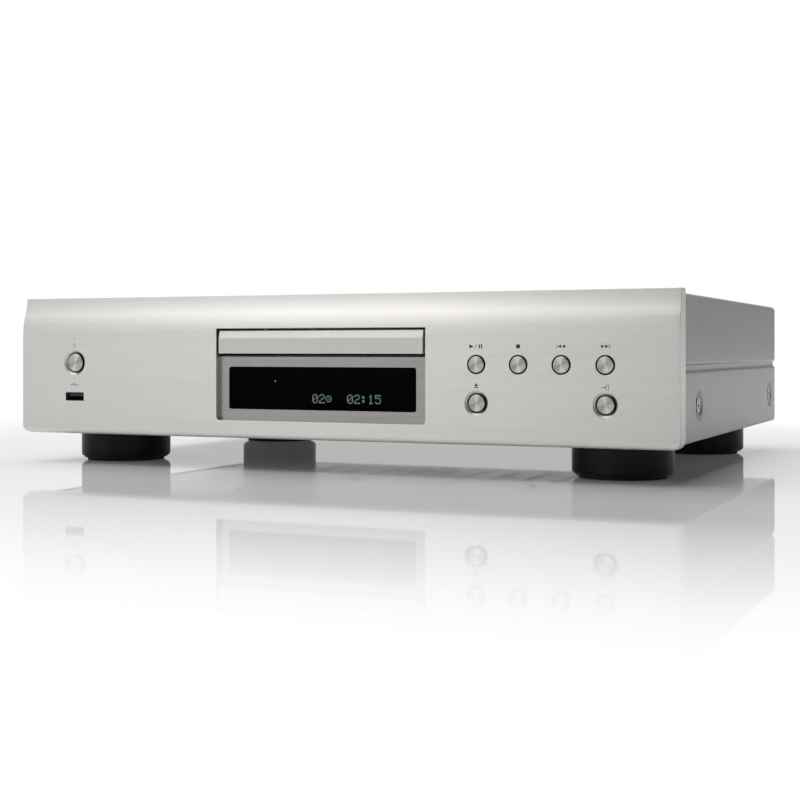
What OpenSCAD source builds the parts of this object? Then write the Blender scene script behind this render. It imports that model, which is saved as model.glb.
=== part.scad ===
// Full-width hi-fi compact disc player with a front-loading tray.
// Frame: X to the right, Y from front to back, Z up. Millimetres.
// Origin: on the standing surface, under the middle of the overall box.

/* [Casing] */
// Overall width, which is the front panel's
body_w = 434; // [430:1:440]
// Overall depth, from the button faces to the ends of the phono jacks
body_d = 328; // [326:1:340]
// Overall height, from the standing surface to the top of the front panel
body_h = 107; // [106:0.5:110]
// Depth of the front panel's ends
panel_depth = 13.4; // [13:0.1:15]
// Thickness of the front panel's wall
panel_wall = 3.5; // [3.2:0.1:3.5]
// Height of the front panel's lower edge above the standing surface
panel_bottom = 19.5; // [18:0.5:19.5]
// Thickness of the steel cover
cover_t = 0.8; // [0.6:0.1:0.8]
// Depth of the long pressed groove in each side of the cover
groove_depth = 1.3; // [0.8:0.1:1.5]

/* [Feet] */
// Radius of a foot
foot_r = 29.5; // [26:0.5:31]
// Distance of each foot's centre from the middle of the player
foot_x = 172; // [160:1:176]
// Distance of the front feet behind the front face
foot_front = 52; // [46:1:60]
// Distance of the rear feet behind the front face
foot_rear = 267; // [255:1:275]

/* [Controls] */
// How far the small button caps stand out of the front face
cap_proud = 0.7; // [0.5:0.1:1]
// Radius of the play, stop and skip button caps
small_cap_r = 4.6; // [4.2:0.1:4.8]
// Radius of the power button cap
power_cap_r = 5.7; // [5:0.1:5.8]
// Radius of the eject and source button caps
dish_cap_r = 4.8; // [4.2:0.1:4.9]
// How far a button travels when it is pressed
button_travel = 0.8; // [0.4:0.1:0.8]

/* [Disc mechanism] */
// How far the tray slides out
tray_travel = 148; // [140:1:148]
// How far the traverse rises to clamp a disc
traverse_lift = 8.5; // [8:0.1:8.5]
// How far the pickup travels along its rods
sled_travel = 34; // [30:1:34]

/* [Hidden] */
$fn = 72;
eps = 0.01;
gap = 0.3;             // clearance between bodies that move past each other
fit = 0.05;            // radial clearance of a running fit
film = 0.02;           // clearance between bodies that touch and don't move
cut = 1;               // how far a cutting shape passes the face it opens

// Main planes
front_y = -body_d / 2 + cap_proud;
panel_back = front_y + panel_depth;
rear_tip_y = body_d / 2;
rear_y = rear_tip_y - 8.5;      // outer face of the rear panel
rear_t = 1;
cover_x = 215;                  // outer side face of the cover
cover_top = body_h - 2;
cover_bottom = panel_bottom + 2;
cover_rear = rear_y + 2;
base_x = 212;                   // outer side face of the base
base_t = 1;
base_low = panel_bottom + 2.6;
floor_z = base_low + base_t;
base_side_top = 52;             // upper edge of the base's upturned sides
rear_half = 212.6;              // half width of the rear panel

// Front panel's section: flat, then an ogee of two equal arcs up to the top edge
ogee_start = body_h - 24.5;
ogee_r = 40.7;
ogee_half = 13.5;
ogee_angle = asin(ogee_half / ogee_r);
panel_lower_r = 4;
panel_corner_r = 5;

// Openings in the front panel: half widths and heights of the edges
slot_x = 69.6;
slot_bottom = 69.4;
slot_top = 86.9;
recess_bottom = 30.3;
recess_corner_r = 2.5;
window_x = 62.5;
window_bottom = 37.3;
window_top = 63.2;
bezel_t = 1.5;
aperture_x = 68.9;
aperture_bottom = 70.4;
aperture_top = 86.1;

// Controls: places on the front face
row_high = 65.3;
row_low = 43.4;
key_pitch = 25;
play_x = 101;
power_x = -175.7;
light_z = 80.5;
small_ring = 0.85;              // radial gap round a small button's cap
wide_ring = 0.5;                // radial gap round the power and dished buttons' caps
dish_rim = 1.8;                 // width and depth of the cone round a dished button
cap_sunk = 0.35;
light_r = 0.85;
usb_w = 14;
usb_h = 5.4;
usb_shell = [13.1, 5.1];
usb_deep = 13;
stem_r = 2;
flange_at = panel_wall + gap;   // depth behind the front face of a button's retaining flange
flange_t = 1;
frame_at = flange_at + flange_t + button_travel + 0.4;
frame_t = 2;
frame_x = 213;
frame_back = frame_at + frame_t;
stem_end = 13;
plunger_tip = stem_end + button_travel + 0.05;
switch_face = plunger_tip + 0.5;
switch_t = 3.5;
board_at = switch_face + switch_t;
board_t = 1.6;

// [x, z, cap radius, how far the cap's face lies behind the front face]
keys = [
  [power_x, row_high, power_cap_r, cap_sunk],
  [play_x, row_high, small_cap_r, -cap_proud],
  [play_x + key_pitch, row_high, small_cap_r, -cap_proud],
  [play_x + 2 * key_pitch, row_high, small_cap_r, -cap_proud],
  [play_x + 3 * key_pitch, row_high, small_cap_r, -cap_proud],
  [play_x, row_low, dish_cap_r, cap_sunk],
  [play_x + 3 * key_pitch, row_low, dish_cap_r, cap_sunk]];

// Fastener places
side_screw_y = [front_y + 58, front_y + 297.4];
side_screw_z = 41.8;
dimple_r = 9.6;
dimple_floor_r = 5.5;
dimple_depth = 2;
groove_z = 63.3;                // middle of the cover's side grooves
cover_corner_r = 3;
cover_fold = 2.7;               // width of the cover's inturned lower edges
rear_lip_low = 93;              // lower edge of the cover's rear lip
rear_screw_x = [-180, 0, 180];
rear_screw_z = 98.5;
rear_low_x = [-200, -60, 60, 200];
rear_low_z = floor_z + 5;
m4_r = 1.95;
m3_r = 1.45;
frame_screw_x = [-205, -80, 80, 205];
frame_screw_y = front_y + 18.5;
m4_clear = m4_r + 0.15;
m3_clear = m3_r + 0.15;
screw_m3 = [2.8, 1.6];          // head radius and height
screw_small = [2.6, 1.4];
screw_rear = [3, 1.6];
screw_m4 = [3.8, 2];
screw_foot = [4, 2.2];
screw_side = [4.4, 1.5];

// Disc mechanism
disc_y = front_y + 86;
tub_x = 73;
tub_in = 66.6;
tub_front = panel_back + 6.7;
tub_back = 40;
tub_floor = 36;
tub_floor_t = 3;
rail_top = 84.5;
tray_x = 66;
tray_front = front_y + 5;
tray_held = 22.2;               // length of the tray still inside the loader when it is out
tray_back = tub_front + tray_held + tray_travel;
tray_low = 71.6;
tray_under = 74.6;
tray_rim = 83.5;
ledge_z = 77.5;
well_z = 76;
disc_well_r = 61;
small_well_r = 41;
slot_half = 24;
tongue_z = 80.5;
tongue_reach = 2;
mech_leg_x = [-tub_x + 4, tub_x - 4];
mech_leg_y = [tub_front + 9, tub_back - 9];
bridge_screw_x = [-tub_x + 3.2, tub_x - 3.2];
door_x = 68.1;
door_low = 71.2;
door_top = 85.3;

// Loading drive
gear_z = 72;
gear_t = 2.3;
load_m = 1;
load_teeth = 28;
pinion_teeth = 16;
rack_x = -57;                   // the tray rack's pitch line
load_rp = load_m * load_teeth / 2;
pinion_rp = load_m * pinion_teeth / 2;
load_x = rack_x + load_rp;
load_y = front_y + 36.3;
pulley_x = load_x + load_rp + pinion_rp;
pulley_r = 14;                  // radius of the belt's inner side on the large pulley
motor_x = 25;
motor_pulley_r = 4;
belt_t = 1.2;
belt_z = 54;
belt_h = 1.6;
post_r = 2.45;
load_motor_r = 12;
load_motor_h = 12;

// Traverse, at rest in its lowered place
plate_z = 52.5;
plate_t = 3;
plate_x = 46;
plate_front = disc_y - 24;
plate_back = 16;
cam_slope = 30;
cam_y = plate_front - 8;
cam_t = 3;
cam_pin_r = 1.5;
cam_pin_x = [-25, 25];
cam_pin_z = plate_z + plate_t / 2;
guide_x = 40;
guide_y = plate_back - 6;
guide_r = 2;
rod_x = 24;
rod_z = 61.5;
rod_r = 1.5;
rod_front = disc_y + 9.3;
rod_back = plate_back - 4;
spindle_can_r = 13;
spindle_can_top = 67.5;
platter_z = 70.3;
platter_r = 14;
cone_top = platter_z + 3.5;
lens_y = disc_y + 24;
sled_front = lens_y - 9.5;
sled_back = lens_y + 15;
sled_x = 27;
sled_low = 58.8;
sled_high = 64.3;
block_high = 67.2;
sled_rack_x = -29;
sled_m = 0.8;
sled_teeth = 16;
sled_rp = sled_m * sled_teeth / 2;
wheel_m = 0.6;
wheel_teeth = 40;
wheel_rp = wheel_m * wheel_teeth / 2;
sled_pinion_teeth = 16;
sled_pinion_rp = wheel_m * sled_pinion_teeth / 2;
sled_gear_x = sled_rack_x - sled_rp;
sled_gear_y = (sled_front + sled_back) / 2 + sled_travel / 2;
sled_motor_y = sled_gear_y + wheel_rp + sled_pinion_rp;
sled_motor_r = 8;
sled_motor_h = 11;
wheel_z = 56;
wheel_t = 2.2;
small_gear_z = 59;
small_gear_t = 4.5;
bridge_y = 22;
bridge_screw_y = [disc_y - bridge_y + 5, disc_y + bridge_y - 5];
bridge_t = 1.5;
bridge_hole_r = 15.2;
clamper_low = 80.2;
clamper_neck_r = 14;
clamper_rim_r = 17.5;

// Circuit boards and rear sockets
board_z = 30;
main_x = [80, 206];
main_y = [-70, 148];
supply_x = [-206, -80];
supply_y = [-10, 148];
board_inset = 6;
board_top = board_z + board_t;
board_post_r = 3;
coil_x = -143;
coil_y = -75;
core_w = 66;
core_d = 56;
core_h = 22;
core_low = floor_z + 16;
coil_foot_x = [coil_x - core_w / 2 - 5, coil_x + core_w / 2 + 5];
phono_x = [112, 150, 172];
phono_z = 58;
phono_r = 4.15;
phono_neck_r = 4.65;            // radius where the shell passes through the rear panel
phono_collar = 0.6;             // how far that wider neck stands out of the panel
phono_core_r = 3.2;
phono_pin_r = 1.6;
optical_x = 88;
optical_z = 58;
flap_w = 9;
flap_h = 8;
remote_x = [40, 58];
remote_z = 58;
remote_bore_r = 1.8;
remote_bush_r = 3.9;
inlet_x = -165;
inlet_z = 55;
inlet_w = 24;
inlet_h = 16;

// ---------- shared shapes ----------

module box(low, high) translate(low) cube(high - low);

module bar_y(x, z, r, y0, y1) translate([x, y0, z]) rotate([-90, 0, 0]) cylinder(r = r, h = y1 - y0);

module bar_x(y, z, r, x0, x1) translate([x0, y, z]) rotate([0, 90, 0]) cylinder(r = r, h = x1 - x0);

module post(x, y, r, z0, z1) translate([x, y, z0]) cylinder(r = r, h = z1 - z0);

// Extrudes a shape drawn in X and Z from y0 to y1
module across(y0, y1) translate([0, y1, 0]) rotate([90, 0, 0]) linear_extrude(y1 - y0) children();

// Extrudes a shape drawn in Y and Z from x0 to x1
module along(x0, x1) translate([x0, 0, 0]) rotate([90, 0, 90]) linear_extrude(x1 - x0) children();

// Rectangle with round corners, between two opposite corners
module round_rect(low, high, r) {
  translate([low.x + r, low.y]) square([high.x - low.x - 2 * r, high.y - low.y]);
  translate([low.x, low.y + r]) square([high.x - low.x, high.y - low.y - 2 * r]);
  for (x = [low.x + r, high.x - r], z = [low.y + r, high.y - r]) translate([x, z]) circle(r);
}

// The same, with round corners at its low edge only
module low_round_rect(low, high, r) {
  translate([low.x, low.y + r]) square([high.x - low.x, high.y - low.y - r]);
  translate([low.x + r, low.y]) square([high.x - low.x - 2 * r, r + eps]);
  for (x = [low.x + r, high.x - r]) translate([x, low.y + r]) circle(r);
}

// Screw whose head's underside is at the origin and whose shank points along -Z
module screw(head, shank_r, length) {
  cross_l = head[0] * 1.1;
  cross_w = head[0] * 0.22;
  difference() {
    cylinder(r = head[0], h = head[1]);
    for (a = [0, 90]) rotate(a) translate([-cross_l / 2, -cross_w / 2, head[1] * 0.45])
      cube([cross_l, cross_w, head[1]]);
  }
  translate([0, 0, -length]) cylinder(r = shank_r, h = length + eps);
}

// Puts its children at the four fixing points of a board that spans xs and ys
module board_corners(xs, ys)
  for (x = [xs[0] + board_inset, xs[1] - board_inset], y = [ys[0] + board_inset, ys[1] - board_inset])
    translate([x, y, 0]) children();

// Involute spur gear outline
function inv(a) = tan(a) * 180 / PI - a;
function flank(r, base, pitch, half) =
  half + inv(acos(base / pitch)) - inv(r > base ? acos(base / r) : 0);
function gear_outline(m, teeth, backlash = 0.2) =
  let (pitch = m * teeth / 2, base = pitch * cos(20), tip = pitch + 0.85 * m, root = pitch - 1.25 * m,
    half = 90 / teeth - backlash / 2 / pitch * 180 / PI,
    low = max(base, root),
    radii = [root, for (i = [0:4]) low + (tip - low) * i / 4])
  [for (t = [0:teeth - 1]) each concat(
    [for (r = radii) let (a = 360 / teeth * t - flank(r, base, pitch, half)) r * [cos(a), sin(a)]],
    [for (i = [len(radii) - 1:-1:0])
      let (r = radii[i], a = 360 / teeth * t + flank(r, base, pitch, half)) r * [cos(a), sin(a)]])];

module gear(m, teeth, h) linear_extrude(h) polygon(gear_outline(m, teeth));

// Rack along Y with its pitch line on Y and its teeth towards +X, and a gap centred on y = 0
module rack(m, y0, y1, back, h, backlash = 0.2) {
  pitch = PI * m;
  half = pitch / 4 - backlash / 2;
  tip = 0.85 * m;
  root = 1.25 * m;
  linear_extrude(h) {
    translate([-back, y0]) square([back - root, y1 - y0]);
    for (k = [ceil(y0 / pitch):floor(y1 / pitch) - 1])
      translate([0, (k + 0.5) * pitch])
        polygon([[-root - eps, -half - root * tan(20)], [tip, -half + tip * tan(20)],
          [tip, half - tip * tan(20)], [-root - eps, half + root * tan(20)]]);
  }
}

// Outline round two pulleys on a line along X, from a big one at the origin to a small one at distance d
function belt_outline(big, small, d) =
  let (lean = acos((big - small) / d), n = 24)
  concat([for (i = [0:n]) let (a = lean + (360 - 2 * lean) * i / n) big * [cos(a), sin(a)]],
    [for (i = [0:n]) let (a = -lean + 2 * lean * i / n) [d + small * cos(a), small * sin(a)]]);

// ---------- casing ----------

// Front panel's outer section in Y (from the front face) and Z
module panel_section() {
  centre_y = ogee_r - 2 * ogee_r * cos(ogee_angle);
  bend_z = ogee_start + ogee_half;
  bend_y = ogee_r * (1 - cos(ogee_angle));
  difference() {
    union() {
      translate([panel_lower_r, panel_bottom])
        square([panel_depth - panel_lower_r, body_h - panel_bottom]);
      translate([0, panel_bottom + panel_lower_r])
        square([panel_depth, ogee_start - panel_bottom - panel_lower_r]);
      translate([panel_lower_r, panel_bottom + panel_lower_r]) circle(panel_lower_r);
      intersection() {
        translate([0, ogee_start - eps]) square([panel_depth, ogee_half + eps]);
        translate([ogee_r, ogee_start]) circle(ogee_r, $fn = 720);
      }
      translate([bend_y, bend_z - eps]) square([panel_depth - bend_y, body_h - bend_z + eps]);
    }
    intersection() {
      translate([centre_y, ogee_start + 2 * ogee_half]) circle(ogee_r, $fn = 720);
      translate([-cut, bend_z]) square([panel_depth, ogee_half + eps]);
    }
  }
}

// Space behind the front panel's wall, in Y and Z
module panel_cavity_section() {
  lip = 2.5;
  top_setback = 8.4;
  polygon([[panel_wall, panel_bottom + lip], [panel_wall, ogee_start], [top_setback, body_h - lip],
    [panel_depth + cut, body_h - lip], [panel_depth + cut, panel_bottom + lip]]);
}

module front_panel() color([0.78, 0.78, 0.77]) difference() {
  end_wall = 3;
  side_room = 3.2;
  top_room = 2.9;
  outside = front_y - cut;
  inside = front_y + panel_wall + cut;
  intersection() {
    translate([0, front_y, 0]) along(-body_w / 2, body_w / 2) panel_section();
    across(outside, panel_back + cut)
      low_round_rect([-body_w / 2, panel_bottom], [body_w / 2, body_h], panel_corner_r);
  }
  translate([0, front_y, 0]) along(-body_w / 2 + end_wall, body_w / 2 - end_wall) panel_cavity_section();
  across(outside, panel_back)
    union() {
      round_rect([-slot_x, slot_bottom - 2], [slot_x, slot_top], 1);
      low_round_rect([-slot_x, recess_bottom], [slot_x, slot_bottom], recess_corner_r);
    }
  box([-slot_x - side_room, front_y + panel_wall, slot_bottom],
    [slot_x + side_room, panel_back + cut, slot_top + top_room]);
  across(outside, inside)
    translate([power_x, row_low]) round_rect([-usb_w / 2, -usb_h / 2], [usb_w / 2, usb_h / 2], 0.6);
  bar_y(power_x, light_z, light_r + fit, outside, inside);
  for (k = keys) {
    dished = k[3] > 0;
    hole_r = k[2] + (dished ? wide_ring : small_ring);
    bar_y(k.x, k.y, hole_r, outside, inside);
    if (dished) translate([k.x, front_y - eps, k.y]) rotate([-90, 0, 0])
      cylinder(r1 = hole_r + dish_rim, r2 = hole_r, h = dish_rim);
  }
}

// Moulded frame behind the front panel that carries the display, the boards and the light pipe
module front_frame() color([0.12, 0.12, 0.12]) difference() {
  face = front_y + frame_at;
  back = front_y + frame_back;
  frame_top = 92;
  opening_x = 74;
  opening_low = 32;
  lug_w = 9;
  lug_h = 8;
  port_x = 8;
  port_z = 4.5;
  union() {
    box([-frame_x, face, panel_bottom + 2.8], [frame_x, back, frame_top]);
    for (x = [-193, -158, 86, 190], z = [38, 74]) bar_y(x, z, 3, back - eps, front_y + board_at);
    for (x = frame_screw_x)
      box([x - lug_w / 2, back - eps, floor_z + 0.1],
        [x + lug_w / 2, frame_screw_y + 4, floor_z + lug_h]);
  }
  box([-opening_x, face - cut, opening_low], [opening_x, back + cut, frame_top + cut]);
  for (k = keys) bar_y(k.x, k.y, stem_r + 0.4, face - cut, back + cut);
  bar_y(power_x, light_z, 1.6, face - cut, back + cut);
  box([power_x - port_x, face - cut, row_low - port_z], [power_x + port_x, back + cut, row_low + port_z]);
  for (x = frame_screw_x) post(x, frame_screw_y, m3_r + fit, floor_z - cut, floor_z + lug_h - 1);
}

module display_bezel() color([0.6, 0.6, 0.59])
  across(front_y + panel_wall, front_y + panel_wall + bezel_t) difference() {
    margin = 2.5;
    translate([-slot_x - margin, recess_bottom - 3])
      square([2 * (slot_x + margin), slot_bottom - recess_bottom + 3]);
    round_rect([-window_x, window_bottom], [window_x, window_top], 1.5);
  }

module display_window() color([0.03, 0.03, 0.04]) {
  back = front_y + panel_wall + bezel_t + 0.05;
  across(back - bezel_t + 0.2, back + eps)
    round_rect([-window_x + 0.1, window_bottom + 0.1], [window_x - 0.1, window_top - 0.1], 1.4);
  box([-window_x - 3.5, back, window_bottom - 3.3], [window_x + 3.5, back + 1.2, window_top + 3.3]);
}

module display_module() color([0.1, 0.14, 0.14]) {
  face = front_y + panel_wall + bezel_t + 1.5;
  box([-58, face, 40], [58, face + 5, 61]);
  box([-63, face + 5, 37], [63, front_y + board_at - gap, 64]);
}

module tray_surround() color([0.03, 0.03, 0.03]) difference() {
  flange = 2.9;
  depth = 12;
  box([-slot_x - flange, front_y + panel_wall + 0.1, slot_bottom + 0.1],
    [slot_x + flange, front_y + depth, slot_top + flange - gap]);
  box([-aperture_x, front_y, aperture_bottom], [aperture_x, front_y + depth + cut, aperture_top]);
}

// Outline of the cover in X and Z; inset moves it inwards
module cover_outline(inset) {
  x = cover_x - inset;
  low = cover_bottom + inset;
  top = cover_top - inset;
  r = cover_corner_r;
  mouth = 2.85 + inset * 0.4;
  root = 1.2;
  difference() {
    union() {
      translate([-x, low]) square([2 * x, top - r - low]);
      translate([-x + r, low]) square([2 * (x - r), top - low]);
      for (s = [-1, 1]) translate([s * (x - r), top - r]) circle(r);
    }
    for (s = [-1, 1]) translate([s * x, groove_z])
      polygon([[s, mouth + 1], [0, mouth], [-s * groove_depth, root],
        [-s * groove_depth, -root], [0, -mouth], [s, -mouth - 1]]);
  }
}

module top_cover() color([0.66, 0.66, 0.64]) {
  lip_x = cover_x - 6;
  lip_face = rear_y + 0.1;
  difference() {
    union() {
      across(panel_back + 0.1, cover_rear) difference() {
        cover_outline(0);
        cover_outline(cover_t);
        translate([-cover_x + cover_fold, cover_bottom - cut]) square([2 * (cover_x - cover_fold), 3]);
      }
      for (s = [-1, 1], y = side_screw_y) translate([s * (cover_x - cover_t), y, side_screw_z])
        rotate([0, -90 * s, 0]) cylinder(r1 = dimple_r, r2 = dimple_floor_r + 0.5, h = dimple_depth);
      box([-lip_x, lip_face, rear_lip_low], [lip_x, lip_face + cover_t, cover_top - cover_t + eps]);
    }
    for (s = [-1, 1], y = side_screw_y)
      translate([s * (cover_x + eps), y, side_screw_z]) rotate([0, -90 * s, 0]) {
        cylinder(r1 = dimple_r, r2 = dimple_floor_r, h = dimple_depth + eps);
        cylinder(r = m4_clear, h = 3 * dimple_depth);
      }
    for (x = rear_screw_x) bar_y(x, rear_screw_z, m3_clear, rear_y - cut, cover_rear + cut);
  }
}

module chassis_base() color([0.62, 0.62, 0.6]) {
  front = front_y + frame_back + gap;
  back = rear_y - rear_t - 0.1;
  tab_w = 12;
  tab_h = 9;
  vent_w = 3;
  difference() {
    union() {
      box([-base_x, front, base_low], [base_x, back, floor_z]);
      for (x = rear_low_x)
        box([x - tab_w / 2, back - base_t, floor_z - eps], [x + tab_w / 2, back, floor_z + tab_h]);
      for (s = [-1, 1]) translate([s * (base_x - base_t / 2), 0, 0])
        box([-base_t / 2, panel_back + 1, floor_z - eps], [base_t / 2, back, base_side_top]);
      board_corners(main_x, main_y) post(0, 0, board_post_r, floor_z - eps, board_z);
      board_corners(supply_x, supply_y) post(0, 0, board_post_r, floor_z - eps, board_z);
    }
    for (s = [-1, 1], y = side_screw_y)
      bar_x(y, side_screw_z, m4_r + fit, s * base_x - 2, s * base_x + 2);
    at_feet() post(0, 0, m4_r + fit, base_low - cut, floor_z + cut);
    for (x = frame_screw_x) post(x, frame_screw_y, m3_r + fit, base_low - cut, floor_z + cut);
    for (x = mech_leg_x, y = mech_leg_y) post(x, y, m3_r + fit, base_low - cut, floor_z + cut);
    for (x = rear_low_x) bar_y(x, rear_low_z, m3_r + fit, back - 2, back + cut);
    board_corners(main_x, main_y) post(0, 0, m3_r + fit, base_low - cut, board_z + cut);
    board_corners(supply_x, supply_y) post(0, 0, m3_r + fit, base_low - cut, board_z + cut);
    for (x = coil_foot_x) post(x, coil_y, m4_r + fit, base_low - cut, floor_z + cut);
    for (x = [-125:25:125])
      box([x - vent_w / 2, 60, base_low - cut], [x + vent_w / 2, 130, floor_z + cut]);
  }
}

module rear_panel() color([0.62, 0.62, 0.6]) difference() {
  top = cover_top - cover_t;
  edge = 1.2;
  inside = rear_y - 3;
  outside = rear_y + cut;
  union() {
    across(rear_y - rear_t, rear_y)
      round_rect([-rear_half, cover_bottom + 0.5], [rear_half, top - 0.1], cover_corner_r + 0.2);
    box([-base_x + 4, rear_y - rear_t - 8, top - gap - rear_t],
      [base_x - 4, rear_y - rear_t + eps, top - gap]);
  }
  for (x = phono_x) bar_y(x, phono_z, phono_neck_r + 0.1, inside, outside);
  box([optical_x - flap_w / 2 - edge, inside, optical_z - flap_h / 2 - edge],
    [optical_x + flap_w / 2 + edge, outside, optical_z + flap_h / 2 + edge]);
  for (x = remote_x) bar_y(x, remote_z, remote_bush_r + 0.1, inside, outside);
  box([inlet_x - inlet_w / 2, inside, inlet_z - inlet_h / 2],
    [inlet_x + inlet_w / 2, outside, inlet_z + inlet_h / 2]);
  for (x = rear_screw_x) bar_y(x, rear_screw_z, m3_r + fit, inside, outside);
  for (x = rear_low_x) bar_y(x, rear_low_z, m3_r + fit, inside, outside);
}

// ---------- feet and fasteners ----------

module foot(x, y) color([0.05, 0.05, 0.05]) translate([x, front_y + y, 0]) difference() {
  pad_edge = 1.5;
  taper = 2;
  wall = 2.5;
  sole = 6;
  hub_r = 7.5;
  pad_seat = 2.2;
  screw_well_r = 4.6;
  screw_seat = 12;
  union() {
    post(0, 0, foot_r, pad_edge + taper, base_low - film);
    translate([0, 0, pad_edge]) cylinder(r1 = foot_r - taper, r2 = foot_r, h = taper);
  }
  difference() {
    post(0, 0, foot_r - wall, sole, base_low);
    post(0, 0, hub_r, 0, base_low + cut);
  }
  post(0, 0, foot_r - 4, -cut, pad_seat);
  post(0, 0, screw_well_r, 0, screw_seat);
  post(0, 0, m4_r + 0.2, 0, base_low + cut);
}

module foot_front_left() foot(-foot_x, foot_front);
module foot_front_right() foot(foot_x, foot_front);
module foot_rear_left() foot(-foot_x, foot_rear);
module foot_rear_right() foot(foot_x, foot_rear);

module at_feet()
  for (x = [-foot_x, foot_x], y = [foot_front, foot_rear]) translate([x, front_y + y, 0]) children();

module foot_pads() color([0.02, 0.02, 0.02]) at_feet() difference() {
  pad_t = 2.15;
  post(0, 0, foot_r - 4.1, 0, pad_t);
  post(0, 0, 5, -cut, pad_t + cut);
}

module foot_screws() color([0.5, 0.5, 0.5]) at_feet()
  translate([0, 0, 11.9]) rotate([180, 0, 0]) screw(screw_foot, m4_r, 14);

module cover_screws() color([0.55, 0.55, 0.54]) {
  for (s = [-1, 1], y = side_screw_y) translate([s * (cover_x - dimple_depth + film), y, side_screw_z])
    rotate([0, 90 * s, 0]) screw(screw_side, m4_r, 9);
  for (x = rear_screw_x) translate([x, rear_y + 0.1 + cover_t, rear_screw_z])
    rotate([-90, 0, 0]) screw(screw_rear, m3_r, 8);
}

module chassis_screws() color([0.5, 0.5, 0.5]) {
  for (x = frame_screw_x) translate([x, frame_screw_y, base_low - film])
    rotate([180, 0, 0]) screw(screw_m3, m3_r, 7);
  for (x = rear_low_x) translate([x, rear_y + film, rear_low_z])
    rotate([-90, 0, 0]) screw(screw_m3, m3_r, 6);
  translate([0, 0, board_top + film]) {
    board_corners(main_x, main_y) screw(screw_m3, m3_r, 6);
    board_corners(supply_x, supply_y) screw(screw_m3, m3_r, 6);
  }
  for (x = coil_foot_x) translate([x, coil_y, floor_z + 2 + film]) screw(screw_m4, m4_r, 5);
}

module mechanism_screws() color([0.5, 0.5, 0.5]) {
  for (x = mech_leg_x, y = mech_leg_y)
    translate([x, y, base_low - film]) rotate([180, 0, 0]) screw(screw_m3, m3_r, 8);
  for (x = bridge_screw_x, y = bridge_screw_y)
    translate([x, y, rail_top + bridge_t + film]) screw(screw_small, m3_r, 6);
}

// ---------- controls ----------

module button(k) {
  face = k[3];
  chamfer = 0.4;
  translate([k.x, front_y, k.y]) rotate([-90, 0, 0]) {
    translate([0, 0, face]) cylinder(r1 = k[2] - chamfer, r2 = k[2], h = chamfer);
    translate([0, 0, face + chamfer]) cylinder(r = k[2], h = flange_at - face - chamfer + eps);
    translate([0, 0, flange_at]) cylinder(r = k[2] + 1.7, h = flange_t);
    translate([0, 0, flange_at]) cylinder(r = stem_r, h = stem_end - flange_at);
  }
}

module power_button() color([0.72, 0.71, 0.69]) button(keys[0]);
module play_button() color([0.72, 0.71, 0.69]) button(keys[1]);
module stop_button() color([0.72, 0.71, 0.69]) button(keys[2]);
module previous_button() color([0.72, 0.71, 0.69]) button(keys[3]);
module next_button() color([0.72, 0.71, 0.69]) button(keys[4]);
module eject_button() color([0.72, 0.71, 0.69]) button(keys[5]);
module source_button() color([0.72, 0.71, 0.69]) button(keys[6]);

module tact_switches() color([0.15, 0.15, 0.15]) for (k = keys) {
  bar_y(k.x, k.y, 1.6, front_y + plunger_tip, front_y + switch_face + eps);
  box([k.x - 3, front_y + switch_face, k.y - 3], [k.x + 3, front_y + board_at, k.y + 3]);
}

module front_board() color([0.1, 0.3, 0.16])
  box([-66, front_y + board_at, 34], [196, front_y + board_at + board_t, 68.5]);

module power_key_board() color([0.1, 0.3, 0.16])
  box([-197, front_y + board_at, 34], [-154, front_y + board_at + board_t, 84]);

module power_light() color([0.2, 0.8, 0.4]) {
  bar_y(power_x, light_z, light_r, front_y + 0.1, front_y + frame_at);
  bar_y(power_x, light_z, 1.5, front_y + frame_at - 1, front_y + board_at - 0.05);
}

module usb_socket() color([0.35, 0.35, 0.36]) {
  x = usb_shell[0] / 2;
  z = usb_shell[1] / 2;
  wall = 0.3;
  tongue_x = 5.5;
  face = front_y + 1;
  translate([power_x, 0, row_low]) {
    difference() {
      box([-x, face, -z], [x, front_y + board_at - 0.05, z]);
      box([-x + wall, face - cut, -z + wall], [x - wall, face + usb_deep, z - wall]);
    }
    box([-tongue_x, face + 1, 0.2], [tongue_x, face + usb_deep + eps, 2]);
  }
}

// ---------- disc mechanism ----------

module loader_frame() color([0.1, 0.1, 0.1]) difference() {
  union() {
    difference() {
      box([-tub_x, tub_front, tub_floor], [tub_x, tub_back, rail_top]);
      box([-tub_in, tub_front - 1, tub_floor + tub_floor_t], [tub_in, tub_back + 1, rail_top + 1]);
      for (s = [-1, 1]) translate([s * tub_in, 0, 0])
        box([-2, tub_front - 1, tongue_z - 1 - gap], [2, tub_back + 1, tongue_z + 1 + gap]);
      box([-42, plate_front + 10, tub_floor - 1], [42, plate_back - 12, tub_floor + tub_floor_t + 1]);
    }
    for (x = mech_leg_x, y = mech_leg_y) post(x, y, 4, floor_z + film, tub_floor + eps);
    post(load_x, load_y, post_r, tub_floor + 1, gear_z + gear_t + 0.1);
    post(load_x, load_y, 5, tub_floor + 1, 57.8);
    post(pulley_x, load_y, post_r, tub_floor + 1, gear_z + gear_t + 0.1);
    post(pulley_x, load_y, 5, tub_floor + 1, belt_z - 2);
    for (s = [-1, 1]) {
      post(s * guide_x, guide_y, guide_r, tub_floor + 1, 68);
      box([-62, cam_y + cam_t / 2 + s * (cam_t / 2 + 1.2) - 0.8, tub_floor + 1],
        [62, cam_y + cam_t / 2 + s * (cam_t / 2 + 1.2) + 0.8, tub_floor + tub_floor_t + 3]);
    }
  }
  for (x = mech_leg_x, y = mech_leg_y) post(x, y, m3_r + fit, floor_z - cut, floor_z + 7);
  for (x = bridge_screw_x, y = bridge_screw_y) post(x, y, m3_r + fit, rail_top - 7, rail_top + cut);
}

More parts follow.
